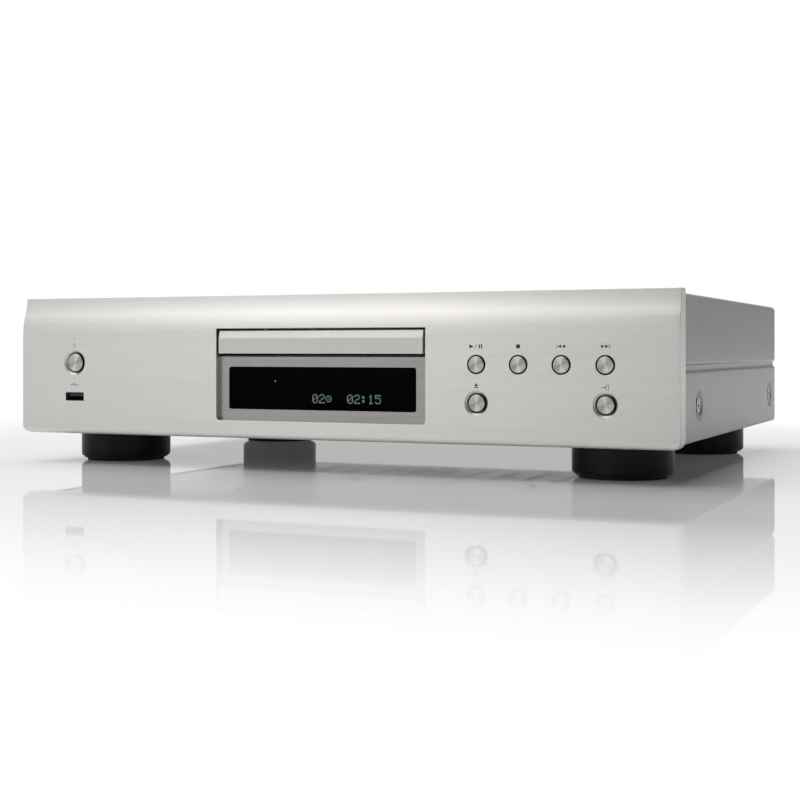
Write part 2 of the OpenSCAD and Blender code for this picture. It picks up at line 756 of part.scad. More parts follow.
module disc_tray() color([0.06, 0.06, 0.06]) difference() {
  skirt = 2.5;
  union() {
    box([-tray_x, tray_front, tray_under], [tray_x, tray_back, tray_rim]);
    for (s = [-1, 1]) translate([s * (tray_x - skirt / 2), 0, 0])
      box([-skirt / 2, tray_front, tray_low], [skirt / 2, tray_back, tray_under + eps]);
    box([-tray_x, tray_front, tray_low], [tray_x, tray_front + 3, tray_under + eps]);
    box([-tray_x - tongue_reach, tray_front + 20, tongue_z - 1],
      [tray_x + tongue_reach, tray_back, tongue_z + 1]);
    translate([rack_x, load_y, tray_low + 0.2])
      rack(load_m, tray_front + 6 - load_y, tray_back - 2 - load_y, 3.5, tray_under - tray_low);
  }
  post(0, disc_y, disc_well_r, ledge_z, tray_rim + 1);
  post(0, disc_y, small_well_r, well_z, tray_rim + 1);
  post(0, disc_y, slot_half, tray_low - 1, tray_rim);
  box([-slot_half, disc_y, tray_low - 1], [slot_half, tray_back + 1, tray_rim + 1]);
  for (s = [-1, 1]) post(s * 52, disc_y - 52, 13, ledge_z, tray_rim + 1);
}

module tray_door() color([0.74, 0.74, 0.71]) {
  crease = 80.5;
  setback = 1.3;
  back = tray_front - front_y - film;
  translate([0, front_y, 0]) along(-door_x, door_x)
    polygon([[0, door_low + 0.3], [0.3, door_low], [back, door_low], [back, door_top],
      [setback + 0.2, door_top], [setback, door_top - 0.2], [0, crease]]);
}

module loading_motor() color([0.6, 0.6, 0.6]) translate([motor_x, load_y, tub_floor + tub_floor_t])
  difference() {
    union() {
      post(0, 0, load_motor_r, film, load_motor_h);
      post(0, 0, 3, 5, load_motor_h + 0.8);
    }
    post(0, 0, 1 + fit, 2, load_motor_h + 2);
  }

// Grooved belt pulley with its rim from z0 to z1
module pulley(r, z0, z1) difference() {
  post(0, 0, r + 1.6, z0, z1);
  difference() {
    post(0, 0, r + 3, (z0 + z1) / 2 - belt_h / 2 - gap, (z0 + z1) / 2 + belt_h / 2 + gap);
    post(0, 0, r - gap, z0, z1);
  }
}

module loading_motor_pulley() color([0.7, 0.7, 0.66]) translate([motor_x, load_y, 0]) {
  pulley(motor_pulley_r, belt_z - 1.9, belt_z + 1.9);
  post(0, 0, 1, tub_floor + tub_floor_t + 2.5, belt_z);
}

module loading_belt() color([0.05, 0.05, 0.05])
  translate([pulley_x, load_y, belt_z - belt_h / 2]) linear_extrude(belt_h) difference() {
    polygon(belt_outline(pulley_r + belt_t, motor_pulley_r + belt_t, motor_x - pulley_x));
    polygon(belt_outline(pulley_r, motor_pulley_r, motor_x - pulley_x));
  }

module pulley_gear() color([0.85, 0.84, 0.8]) translate([pulley_x, load_y, 0]) difference() {
  union() {
    pulley(pulley_r, belt_z - 1.9, belt_z + 1.9);
    post(0, 0, 5, belt_z - 1.9, gear_z + eps);
    translate([0, 0, gear_z]) rotate(180 / pinion_teeth) gear(load_m, pinion_teeth, gear_t);
  }
  post(0, 0, post_r + fit, belt_z - 5, 90);
}

module loading_gear() color([0.85, 0.84, 0.8]) translate([load_x, load_y, 0]) difference() {
  union() {
    translate([0, 0, gear_z]) gear(load_m, load_teeth, gear_t);
    post(0, 0, 5, 58.1, gear_z + eps);
  }
  post(0, 0, post_r + fit, 50, 90);
}

module cam_slider() color([0.85, 0.84, 0.8]) {
  low = tub_floor + tub_floor_t + 0.5;
  across(cam_y, cam_y + cam_t) difference() {
    translate([-52, low]) square([90, 66 - low]);
    for (x = cam_pin_x) translate([x, cam_pin_z]) rotate(180 - cam_slope) {
      w = cam_pin_r + 0.25;
      translate([0, -w]) square([traverse_lift / sin(cam_slope), 2 * w]);
      circle(w);
      translate([traverse_lift / sin(cam_slope), 0]) circle(w);
    }
    translate([-22, low + 5]) square([30, 10]);
  }
}

module traverse_frame() color([0.14, 0.14, 0.14]) difference() {
  union() {
    box([-plate_x, plate_front, plate_z], [plate_x, plate_back, plate_z + plate_t]);
    for (x = cam_pin_x) bar_y(x, cam_pin_z, cam_pin_r, cam_y - 0.5, plate_front + 1);
    for (x = [-rod_x, rod_x], y = [rod_front - 2, rod_back - 4])
      box([x - 2.5, y, plate_z + plate_t - eps], [x + 2.5, y + 4, rod_z + 2.5]);
    post(sled_gear_x, sled_gear_y, rod_r, plate_z + 1, small_gear_z + small_gear_t + 0.5);
  }
  post(0, disc_y, spindle_can_r + 0.1, plate_z + 1, plate_z + 10);
  post(0, disc_y, 6, plate_z - 1, plate_z + 2);
  box([-18, sled_front - 0.5, plate_z - 1], [18, plate_back - 8, plate_z + plate_t + 1]);
  for (x = [-rod_x, rod_x]) bar_y(x, rod_z, rod_r + 0.01, rod_front - 1, rod_back + 1);
  for (s = [-1, 1]) post(s * guide_x, guide_y, guide_r + 0.1, plate_z - 1, plate_z + plate_t + 1);
  post(sled_gear_x, sled_motor_y, 3.2, plate_z - 1, plate_z + plate_t + 1);
}

module guide_rods() color([0.75, 0.75, 0.76])
  for (x = [-rod_x, rod_x]) bar_y(x, rod_z, rod_r, rod_front - 1, rod_back);

module spindle_motor() color([0.6, 0.6, 0.6]) difference() {
  post(0, disc_y, spindle_can_r, plate_z + 1.02, spindle_can_top);
  post(0, disc_y, 1.05, plate_z + 4, 90);
}

module turntable() color([0.08, 0.08, 0.08]) translate([0, disc_y, 0]) {
  post(0, 0, 1, plate_z + 4.5, platter_z);
  post(0, 0, platter_r, platter_z - 2, platter_z);
  post(0, 0, 7.4, platter_z - eps, platter_z + 1.2);
  translate([0, 0, platter_z + 1.2 - eps]) cylinder(r1 = 7.4, r2 = 5, h = cone_top - platter_z - 1.2);
}

module sled_motor() color([0.6, 0.6, 0.6]) difference() {
  post(sled_gear_x, sled_motor_y, sled_motor_r, plate_z - sled_motor_h, plate_z - 0.02);
  post(sled_gear_x, sled_motor_y, 0.85, plate_z - sled_motor_h + 2, plate_z + 1);
}

module sled_motor_pinion() color([0.75, 0.7, 0.5]) translate([sled_gear_x, sled_motor_y, 0]) {
  post(0, 0, 0.8, plate_z - sled_motor_h + 2.5, wheel_z + 0.5);
  translate([0, 0, wheel_z]) rotate(180 / sled_pinion_teeth) gear(wheel_m, sled_pinion_teeth, wheel_t);
}

module sled_gear() color([0.85, 0.84, 0.8]) translate([sled_gear_x, sled_gear_y, 0]) difference() {
  union() {
    translate([0, 0, wheel_z]) gear(wheel_m, wheel_teeth, wheel_t);
    post(0, 0, 4, wheel_z, small_gear_z + eps);
    translate([0, 0, small_gear_z]) gear(sled_m, sled_teeth, small_gear_t);
  }
  post(0, 0, rod_r + fit, wheel_z - 1, 80);
}

module pickup_sled() color([0.16, 0.16, 0.16]) difference() {
  union() {
    box([-sled_x, sled_front, sled_low], [sled_x, sled_back, sled_high]);
    box([-16, sled_front, sled_low], [16, sled_back, block_high]);
    translate([sled_rack_x, sled_gear_y, 60]) mirror([1, 0, 0])
      rack(sled_m, sled_front - 8 - sled_gear_y, sled_back + 8 - sled_gear_y, 2.4, 3);
  }
  bar_y(-rod_x, rod_z, rod_r + fit, sled_front - 1, sled_back + 1);
  bar_y(rod_x, rod_z, rod_r + fit, sled_front - 1, sled_back + 1);
  box([-9, lens_y - 7, sled_high - 1], [9, lens_y + 7, block_high + 1]);
}

module pickup_lens() color([0.3, 0.35, 0.5]) translate([0, lens_y, 0]) {
  top = block_high + 0.3;
  box([-6.5, -4.5, sled_high + 0.6], [6.5, 4.5, top]);
  translate([0, 0, top - eps]) cylinder(r = 3.2, h = 0.6);
  intersection() {
    translate([0, 0, block_high - 4.1]) sphere(5.5);
    post(0, 0, 2.4, top, block_high + 2);
  }
}

module clamp_bridge() color([0.6, 0.6, 0.6]) difference() {
  union() {
    box([-tub_x, disc_y - bridge_y, rail_top + 0.02], [tub_x, disc_y + bridge_y, rail_top + bridge_t]);
    for (s = [-1, 1]) translate([0, disc_y + s * (bridge_y - 0.5), 0])
      box([-60, -0.5, rail_top + 0.02], [60, 0.5, rail_top + 6]);
  }
  post(0, disc_y, bridge_hole_r, rail_top - 1, rail_top + 5);
  for (x = bridge_screw_x, y = bridge_screw_y) post(x, y, m3_r + fit, rail_top - cut, rail_top + 5);
}

module disc_clamper() color([0.1, 0.1, 0.1]) translate([0, disc_y, 0]) difference() {
  rim_low = rail_top + bridge_t + gap;
  rim_t = 2;
  union() {
    post(0, 0, clamper_neck_r, clamper_low, rim_low + eps);
    post(0, 0, clamper_rim_r, rim_low, rim_low + rim_t);
  }
  post(0, 0, 8.2, clamper_low - cut, clamper_low + 3.6);
  post(0, 0, 9, rim_low - 1.1, rim_low + rim_t + cut);
}

// ---------- electronics ----------

module main_board() color([0.1, 0.3, 0.16]) difference() {
  chip_t = 1.8;
  union() {
    box([main_x[0], main_y[0], board_z + film], [main_x[1], main_y[1], board_top]);
    for (c = [[120, -20, 10], [160, -30, 7], [120, 40, 8], [165, 30, 6]])
      box([c.x - c.z, c.y - c.z, board_top - eps], [c.x + c.z, c.y + c.z, board_top + chip_t]);
    for (x = phono_x) box([x - 6, 130, board_top - eps], [x + 6, 138, phono_z - 8]);
  }
  board_corners(main_x, main_y) post(0, 0, m3_r + fit, board_z - cut, board_top + cut);
}

module power_board() color([0.1, 0.3, 0.16]) difference() {
  sink_x = -110;
  sink_t = 3;
  sink_h = 28;
  fin_l = 11;
  fin_t = 2;
  fin_pitch = 9;
  union() {
    box([supply_x[0], supply_y[0], board_z + film], [supply_x[1], supply_y[1], board_top]);
    translate([sink_x, 10, board_z]) {
      box([0, 0, board_t - eps], [sink_t, 50, sink_h]);
      for (i = [0:5])
        box([sink_t - eps, 2 + i * fin_pitch, 4], [sink_t + fin_l, 2 + fin_t + i * fin_pitch, sink_h]);
    }
  }
  board_corners(supply_x, supply_y) post(0, 0, m3_r + fit, board_z - cut, board_top + cut);
}

module transformer() color([0.45, 0.44, 0.42]) difference() {
  foot_w = 24;
  foot_t = 2;
  coil_half = 22;
  union() {
    translate([coil_x, coil_y, 0]) {
      box([-core_w / 2, -core_d / 2, core_low], [core_w / 2, core_d / 2, core_low + core_h]);
      translate([0, 0, floor_z + foot_t]) linear_extrude(50)
        round_rect([-coil_half, -core_d / 2 + 4], [coil_half, core_d / 2 - 4], 6);
      box([-core_w / 2 - 11, -foot_w / 2, floor_z + film],
        [core_w / 2 + 11, foot_w / 2, floor_z + foot_t]);
      for (s = [-1, 1]) translate([s * (core_w / 2 - foot_t / 2 + eps), 0, 0])
        box([-foot_t / 2, -foot_w / 2, floor_z + 1], [foot_t / 2, foot_w / 2, core_low + 1]);
    }
  }
  for (x = coil_foot_x) post(x, coil_y, m4_r + fit, floor_z - cut, floor_z + foot_t + cut);
}

module filter_capacitors() color([0.12, 0.12, 0.2]) {
  for (c = [[-190, 20, 9], [-165, 20, 9], [-190, 50, 9], [-165, 50, 9], [-135, 95, 6], [-120, 95, 6]])
    post(c.x, c.y, c.z, board_top + film, board_top + c.z * 3.2);
  for (c = [[190, -30, 5], [190, -5, 5], [190, 20, 5], [145, 60, 4], [130, 75, 4], [180, 60, 4],
    [105, 100, 5]])
    post(c.x, c.y, c.z, board_top + film, board_top + c.z * 3);
}

// Flat cables: front board to main board, and mechanism to main board
module ribbon_cables() color([0.85, 0.85, 0.83]) {
  t = 0.3;
  top = board_top + 0.05;
  board_back = front_y + board_at + board_t + 0.05;
  tub_side = tub_x + 0.1;
  plug_y = -62;
  plug_x = 95;
  along(100, 118) polygon([[board_back, 60], [board_back + t, 60], [board_back + t, 48],
    [plug_y - 33, top + 14 + t], [plug_y - 16, top + 10 + t], [plug_y + t, top + 5], [plug_y + t, top],
    [plug_y, top], [plug_y, top + 5 - t], [plug_y - 16, top + 10], [plug_y - 33, top + 14],
    [board_back, 48 - t]]);
  across(-66, -52) polygon([[tub_side, 44], [tub_side + t, 44], [tub_side + t, 39], [plug_x - 5, 36 + t],
    [plug_x, top + 2], [plug_x, top], [plug_x - t, top], [plug_x - t, top + 2 - t], [plug_x - 5, 36],
    [tub_side, 39 - t]]);
}

// ---------- rear sockets ----------

module phono_jacks() color([0.83, 0.66, 0.3]) for (x = phono_x) difference() {
  union() {
    bar_y(x, phono_z, phono_neck_r, rear_y - 6, rear_y + phono_collar);
    bar_y(x, phono_z, phono_r, rear_y, rear_tip_y);
  }
  bar_y(x, phono_z, phono_core_r, rear_y - 7, rear_tip_y + 1);
}

module jack_blocks() color([0.07, 0.07, 0.07]) {
  for (x = phono_x) difference() {
    union() {
      bar_y(x, phono_z, phono_core_r - 0.02, rear_y - 6.5, rear_tip_y - 0.4);
      box([x - 7, rear_y - 14, phono_z - 8], [x + 7, rear_y - 6.02, phono_z + 8]);
      box([x - 6, rear_y - 14, phono_z - 8], [x + 6, rear_y - rear_t - 0.5, phono_z - 5]);
    }
    bar_y(x, phono_z, phono_pin_r, rear_y - 5, rear_tip_y + 1);
  }
  for (x = remote_x) difference() {
    union() {
      box([x - 6, rear_y - 14, remote_z - 5], [x + 6, rear_y - rear_t - 0.1, remote_z + 5]);
      bar_y(x, remote_z, remote_bush_r, rear_y - 3, rear_y + 1.5);
    }
    bar_y(x, remote_z, remote_bore_r, rear_y - 12, rear_y + 3);
  }
}

module optical_socket() color([0.05, 0.05, 0.05]) {
  x = optical_x;
  z = optical_z;
  half_w = flap_w / 2;
  half_h = flap_h / 2;
  rim = 1.1;
  difference() {
    union() {
      box([x - 7.5, rear_y - 16, z - 7], [x + 7.5, rear_y - rear_t - 0.1, z + 7]);
      box([x - half_w - rim, rear_y - rear_t - 0.2, z - half_h - rim],
        [x + half_w + rim, rear_y + 0.8, z + half_h + rim]);
    }
    box([x - half_w - gap, rear_y - 13, z - half_h - gap],
      [x + half_w + gap, rear_y + 2, z + half_h + gap]);
    bar_x(rear_y - 0.4, z + half_h - 0.4, 0.4 + fit, x - half_w - 0.9, x + half_w + 0.9);
  }
}

module optical_shutter() color([0.1, 0.1, 0.1]) {
  x = flap_w / 2;
  box([optical_x - x, rear_y - 0.8, optical_z - flap_h / 2],
    [optical_x + x, rear_y, optical_z + flap_h / 2 - 0.4]);
  bar_x(rear_y - 0.4, optical_z + flap_h / 2 - 0.4, 0.4, optical_x - x - 0.8, optical_x + x + 0.8);
}

module ac_inlet() color([0.06, 0.06, 0.06]) translate([inlet_x, 0, inlet_z]) {
  x = inlet_w / 2 - 0.1;
  z = inlet_h / 2 - 0.1;
  flange_x = inlet_w / 2 + 3;
  flange_z = inlet_h / 2 + 2.5;
  lobe_r = 4.2;
  lobe_x = 4.15;
  difference() {
    union() {
      box([-x, rear_y - 20, -z], [x, rear_y + 0.05, z]);
      across(rear_y + film, rear_y + 2) round_rect([-flange_x, -flange_z], [flange_x, flange_z], 2);
    }
    across(rear_y - 12, rear_y + 3) union() {
      for (s = [-1, 1]) translate([s * lobe_x, 0]) circle(lobe_r);
      translate([-lobe_x, -4]) square([2 * lobe_x, 7.2]);
    }
  }
  for (s = [-1, 1]) bar_y(s * lobe_x, 0, 1.2, rear_y - 13, rear_y - 1);
}

front_panel();
front_frame();
display_bezel();
display_window();
display_module();
tray_surround();
top_cover();
chassis_base();
rear_panel();
foot_front_left();
foot_front_right();
foot_rear_left();
foot_rear_right();
foot_pads();
foot_screws();
cover_screws();
chassis_screws();
mechanism_screws();
power_button();
play_button();
stop_button();
previous_button();
next_button();
eject_button();
source_button();
tact_switches();
front_board();
power_key_board();
power_light();
usb_socket();
loader_frame();
disc_tray();
tray_door();
loading_motor();
loading_motor_pulley();
loading_belt();
pulley_gear();
loading_gear();
cam_slider();
traverse_frame();
guide_rods();
spindle_motor();
turntable();
sled_motor();
sled_motor_pinion();
sled_gear();
pickup_sled();
pickup_lens();
clamp_bridge();
disc_clamper();
main_board();
power_board();
transformer();
filter_capacitors();
ribbon_cables();
phono_jacks();
jack_blocks();
optical_socket();
optical_shutter();
ac_inlet();
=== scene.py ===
import math

import bmesh
import bpy
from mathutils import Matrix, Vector


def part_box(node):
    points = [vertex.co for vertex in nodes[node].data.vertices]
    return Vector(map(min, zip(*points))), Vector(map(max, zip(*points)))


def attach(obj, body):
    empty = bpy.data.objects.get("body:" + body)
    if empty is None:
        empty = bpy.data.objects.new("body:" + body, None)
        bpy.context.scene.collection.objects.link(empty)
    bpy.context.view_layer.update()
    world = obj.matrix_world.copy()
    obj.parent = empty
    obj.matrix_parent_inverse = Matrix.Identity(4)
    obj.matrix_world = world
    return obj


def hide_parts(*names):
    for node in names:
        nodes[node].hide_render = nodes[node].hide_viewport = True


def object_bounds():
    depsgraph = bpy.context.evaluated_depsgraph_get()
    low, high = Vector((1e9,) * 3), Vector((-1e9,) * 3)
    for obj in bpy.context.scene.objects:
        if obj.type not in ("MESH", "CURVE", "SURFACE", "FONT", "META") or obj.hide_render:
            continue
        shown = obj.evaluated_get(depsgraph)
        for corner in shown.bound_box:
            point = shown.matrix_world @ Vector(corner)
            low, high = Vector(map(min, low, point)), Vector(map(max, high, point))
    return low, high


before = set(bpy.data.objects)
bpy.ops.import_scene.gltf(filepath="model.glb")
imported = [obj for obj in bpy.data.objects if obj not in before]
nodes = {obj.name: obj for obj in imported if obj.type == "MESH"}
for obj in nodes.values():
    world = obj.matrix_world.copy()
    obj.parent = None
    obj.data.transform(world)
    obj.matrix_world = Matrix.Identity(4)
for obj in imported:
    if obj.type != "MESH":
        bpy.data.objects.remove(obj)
cad_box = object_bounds()
MM = 0.001


def node_box(name):
    """Lowest and highest corner of a CAD node in millimetres."""
    low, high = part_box(name)
    return low / MM, high / MM


# ---------------------------------------------------------------- places taken from the frame
panel_low, panel_high = node_box("front_panel")
cover_low, cover_high = node_box("top_cover")
bezel_low, bezel_high = node_box("display_bezel")
window_low, window_high = node_box("display_window")
module_front = node_box("display_module")[0].y
surround_low, surround_high = node_box("tray_surround")
door_low, door_high = node_box("tray_door")
usb_low, usb_high = node_box("usb_socket")
light_low, light_high = node_box("power_light")
FRONT = panel_low.y
BUTTONS = ("power", "play", "stop", "previous", "next", "eject", "source")
DISHED = ("power", "eject", "source")
FEET = ("foot_front_left", "foot_front_right", "foot_rear_left", "foot_rear_right")
WALL = 3.5  # thickness of the panel's front wall
PANEL_CORNER_R = 5
OGEE_RISE = 24.5  # height of the curved band under the panel's top edge
SLOT_HALF = 69.6  # half width of the opening for the tray and the display
SLOT_TOP = surround_high.z - 2.6
SLOT_LOW = surround_low.z - 0.1
RECESS_LOW = bezel_low.z + 3.0
WINDOW_HALF = 62.5
WINDOW_LOW = 37.3
WINDOW_TOP = 63.2
BEYOND = 3  # how far a cutter reaches past the surface that it opens


# ---------------------------------------------------------------- mesh helpers, in millimetres
def shade_smooth(data):
    for polygon in data.polygons:
        polygon.use_smooth = True


def finish_object(name, mesh_data):
    data = bpy.data.meshes.new(name)
    mesh_data.to_mesh(data)
    mesh_data.free()
    shade_smooth(data)
    made = bpy.data.objects.new(name, data)
    bpy.context.scene.collection.objects.link(made)
    return made


def to_object(name, bm, weld=1e-4):
    bmesh.ops.remove_doubles(bm, verts=bm.verts, dist=weld)
    bmesh.ops.recalc_face_normals(bm, faces=bm.faces)
    bmesh.ops.scale(bm, vec=(MM, MM, MM), verts=bm.verts)
    return finish_object(name, bm)


def prism(bm, outline, place, t0, t1):
    """Closed prism of a flat outline; place turns (u, v, t) into a point."""
    ends = [[bm.verts.new(place(u, v, t)) for u, v in outline] for t in (t0, t1)]
    count = len(outline)
    bm.faces.new(ends[0])
    bm.faces.new(list(reversed(ends[1])))
    for i in range(count):
        j = (i + 1) % count
        bm.faces.new((ends[0][i], ends[1][i], ends[1][j], ends[0][j]))


def facing_front(u, v, t):
    return Vector((u, t, v))


def facing_side(u, v, t):
    return Vector((t, u, v))


def across_panel(u, v, t):
    """Point of a section given as (depth behind the front face, height), at t along X."""
    return Vector((t, FRONT + u, v))


def arc(cx, cy, r, a0, a1, steps):
    return [
        (cx + r * math.cos(math.radians(a0 + (a1 - a0) * i / steps)),
         cy + r * math.sin(math.radians(a0 + (a1 - a0) * i / steps)))
        for i in range(steps + 1)
    ]


def rectangle(x0, z0, x1, z1):
    return [(x0, z0), (x1, z0), (x1, z1), (x0, z1)]


def bar(x, z, w, h):
    """Rectangle round a centre."""
    return rectangle(x - w / 2, z - h / 2, x + w / 2, z + h / 2)


def round_rectangle(x0, z0, x1, z1, low_r, top_r, steps=8):
    points = []
    for cx, cz, r, start in (
        (x0 + low_r, z0 + low_r, low_r, 180),
        (x1 - low_r, z0 + low_r, low_r, 270),
        (x1 - top_r, z1 - top_r, top_r, 0),
        (x0 + top_r, z1 - top_r, top_r, 90),
    ):
        points += arc(cx, cz, r, start, start + 90, steps) if r > 0 else [(cx, cz)]
    return points


def lathe(bm, profile, centre, axis, steps=96, closed=True):
    """Turned body. Profile points are (radius, distance along the axis)."""
    centre = Vector(centre)
    axis = Vector(axis).normalized()
    side = axis.orthogonal().normalized()
    other = axis.cross(side)
    rings = []
    for r, h in profile:
        if r < 1e-6:
            rings.append([bm.verts.new(centre + axis * h)])
            continue
        rings.append([
            bm.verts.new(
                centre + axis * h
                + r * (side * math.cos(2 * math.pi * i / steps) + other * math.sin(2 * math.pi * i / steps))
            )
            for i in range(steps)
        ])
    pairs = list(zip(rings, rings[1:]))
    if closed:
        pairs.append((rings[-1], rings[0]))
    for a, b in pairs:
        for i in range(steps):
            j = (i + 1) % steps
            if len(a) == 1 and len(b) == 1:
                break
            if len(a) == 1:
                bm.faces.new((a[0], b[j], b[i]))
            elif len(b) == 1:
                bm.faces.new((a[i], a[j], b[0]))
            else:
                bm.faces.new((a[i], a[j], b[j], b[i]))


def apply_modifiers(target):
    graph = bpy.context.evaluated_depsgraph_get()
    made = bpy.data.meshes.new_from_object(target.evaluated_get(graph))
    old = target.data
    target.modifiers.clear()
    target.data = made
    bpy.data.meshes.remove(old)
    shade_smooth(made)


def carve(target, cutter):
    """Takes the cutter's shape out of the target and deletes the cutter."""
    step = target.modifiers.new("carve", "BOOLEAN")
    step.operation = "DIFFERENCE"
    step.solver = "EXACT"
    step.use_self = True
    step.object = cutter
    apply_modifiers(target)
    bpy.data.objects.remove(cutter)


def crisp(target, width, segments=2, angle=32, clamp=False, planar=False):
    """Small rounded edges, with flat faces kept flat."""
    weld = target.modifiers.new("weld", "WELD")
    weld.merge_threshold = 1e-6
    if planar:
        dissolve = target.modifiers.new("planes", "DECIMATE")
        dissolve.decimate_type = "DISSOLVE"
        dissolve.angle_limit = math.radians(0.4)
        dissolve.delimit = {"MATERIAL"}
    bevel = target.modifiers.new("edges", "BEVEL")
    bevel.width = width * MM
    bevel.segments = segments
    bevel.limit_method = "ANGLE"
    bevel.angle_limit = math.radians(angle)
    bevel.use_clamp_overlap = clamp
    bevel.miter_outer = "MITER_ARC"
    normals = target.modifiers.new("normals", "WEIGHTED_NORMAL")
    normals.keep_sharp = False
    normals.weight = 80
    return target


def lay_uv(target):
    """UV in metres with U along X on every face that has X in its plane."""
    data = target.data
    layer = data.uv_layers.get("grain") or data.uv_layers.new(name="grain")
    for polygon in data.polygons:
        n = [abs(c) for c in polygon.normal]
        if n[0] >= 0.9:
            first, second = 1, 2
        elif n[2] > max(n[0], n[1]):
            first, second = 0, 1
        else:
            first, second = 0, 2
        for corner in polygon.loop_indices:
            p = data.vertices[data.loops[corner].vertex_index].co
            layer.data[corner].uv = (p[first], p[second])


def dress(target, material, body, stands_for=()):
    target.data.materials.clear()
    target.data.materials.append(material)
    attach(target, body)
    if stands_for:
        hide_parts(*stands_for)
    return target


# ---------------------------------------------------------------- material helpers
class Shader:
    """A node material under construction."""

    def __init__(self, name):
        self.material = bpy.data.materials.new(name)
        self.material.use_nodes = True
        self.tree = self.material.node_tree
        self.tree.nodes.clear()
        self.out = self.add("ShaderNodeOutputMaterial")
        self.coords = self.add("ShaderNodeTexCoord")

    def add(self, kind, **settings):
        made = self.tree.nodes.new(kind)
        for key, value in settings.items():
            setattr(made, key, value)
        return made

    def link(self, a, b):
        self.tree.links.new(a, b)

    def stretched(self, scale):
        mapping = self.add("ShaderNodeMapping")
        mapping.inputs["Scale"].default_value = scale
        self.link(self.coords.outputs["Object"], mapping.inputs["Vector"])
        return mapping.outputs["Vector"]

    def noise(self, vector, scale=1.0, detail=3.0, rough=0.55):
        made = self.add("ShaderNodeTexNoise")
        made.inputs["Scale"].default_value = scale
        made.inputs["Detail"].default_value = detail
        made.inputs["Roughness"].default_value = rough
        self.link(vector, made.inputs["Vector"])
        return made.outputs["Fac"]

    def ramp(self, fac, stops):
        made = self.add("ShaderNodeValToRGB")
        elements = made.color_ramp.elements
        while len(elements) < len(stops):
            elements.new(0.5)
        for element, (place, colour) in zip(elements, stops):
            element.position = place
            element.color = (*colour, 1.0)
        self.link(fac, made.inputs["Fac"])
        return made.outputs["Color"]

    def spread(self, fac, low, high, start=0.3, end=0.7):
        made = self.add("ShaderNodeMapRange")
        made.inputs["From Min"].default_value = start
        made.inputs["From Max"].default_value = end
        made.inputs["To Min"].default_value = low
        made.inputs["To Max"].default_value = high
        self.link(fac, made.inputs["Value"])
        return made.outputs["Result"]

    def math(self, operation, a, b=None):
        made = self.add("ShaderNodeMath", operation=operation)
        for socket, value in zip(made.inputs, (a, b)):
            if value is None:
                continue
            if isinstance(value, (int, float)):
                socket.default_value = value
            else:
                self.link(value, socket)
        return made.outputs["Value"]

    def bump(self, height, strength, distance):
        made = self.add("ShaderNodeBump")
        made.inputs["Strength"].default_value = strength
        made.inputs["Distance"].default_value = distance
        self.link(height, made.inputs["Height"])
        return made.outputs["Normal"]

    def principled(self, **values):
        made = self.add("ShaderNodeBsdfPrincipled")
        for key, value in values.items():
            socket = made.inputs[key.replace("_", " ")]
            if isinstance(value, bpy.types.NodeSocket):
                self.link(value, socket)
            else:
                socket.default_value = value
        self.link(made.outputs["BSDF"], self.out.inputs["Surface"])
        return made


def shade(colour, factor):
    return tuple(min(1.0, c * factor) for c in colour)


def around(colour, contrast):
    """A darker shade, the colour itself and a lighter shade."""
    return shade(colour, 1 - contrast), colour, shade(colour, 1 + contrast)


def brushed(name, colour, roughness, across, along, contrast, anisotropy=0.8, depth=0.5):
    """Metal brushed along X: fine streaks of colour, roughness and height."""
    s = Shader(name)
    fine = s.noise(s.stretched((along, across * 0.2, across)), 1.0, 4.0, 0.62)
    broad = s.noise(s.stretched((along * 0.25, across * 0.05, across * 0.22)), 1.0, 2.0)
    both = s.math("ADD", s.math("MULTIPLY", fine, 0.65), s.math("MULTIPLY", broad, 0.35))
    tint = s.ramp(both, list(zip((0.3, 0.5, 0.7), around(colour, contrast))))
    rough = s.spread(both, roughness * 0.88, roughness * 1.14)
    smear = s.noise(s.stretched((9.0, 9.0, 14.0)), 1.0, 2.0)
    rough = s.math("MULTIPLY", rough, s.spread(smear, 0.97, 1.04))
    bsdf = s.principled(Base_Color=tint, Metallic=1.0, Roughness=rough,
                        Normal=s.bump(fine, depth, 0.00004))
    bsdf.inputs["Anisotropic"].default_value = anisotropy
    bsdf.inputs["Anisotropic Rotation"].default_value = 0.25
    tangent = s.add("ShaderNodeTangent", direction_type="UV_MAP", uv_map="grain")
    s.link(tangent.outputs["Tangent"], bsdf.inputs["Tangent"])
    return s.material


def turned(name, colour, roughness):
    """Metal turned on a lathe: fine rings round the Y axis and a radial sheen."""
    s = Shader(name)
    rings = s.add("ShaderNodeTexWave", wave_type="RINGS", rings_direction="Y")
    rings.inputs["Scale"].default_value = 1.1 / MM / 6.28
    rings.inputs["Distortion"].default_value = 0.3
    rings.inputs["Detail"].default_value = 1.0
    s.link(s.coords.outputs["Object"], rings.inputs["Vector"])
    tint = s.ramp(rings.outputs["Fac"], [(0.0, shade(colour, 0.9)), (1.0, shade(colour, 1.08))])
    rough = s.spread(rings.outputs["Fac"], roughness * 0.9, roughness * 1.15, 0.0, 1.0)
    bsdf = s.principled(Base_Color=tint, Metallic=1.0, Roughness=rough,
                        Normal=s.bump(rings.outputs["Fac"], 0.12, 0.00001))
    bsdf.inputs["Anisotropic"].default_value = 0.96
    bsdf.inputs["Anisotropic Rotation"].default_value = 0.25
    tangent = s.add("ShaderNodeTangent", direction_type="RADIAL", axis="Y")
    s.link(tangent.outputs["Tangent"], bsdf.inputs["Tangent"])
    return s.material


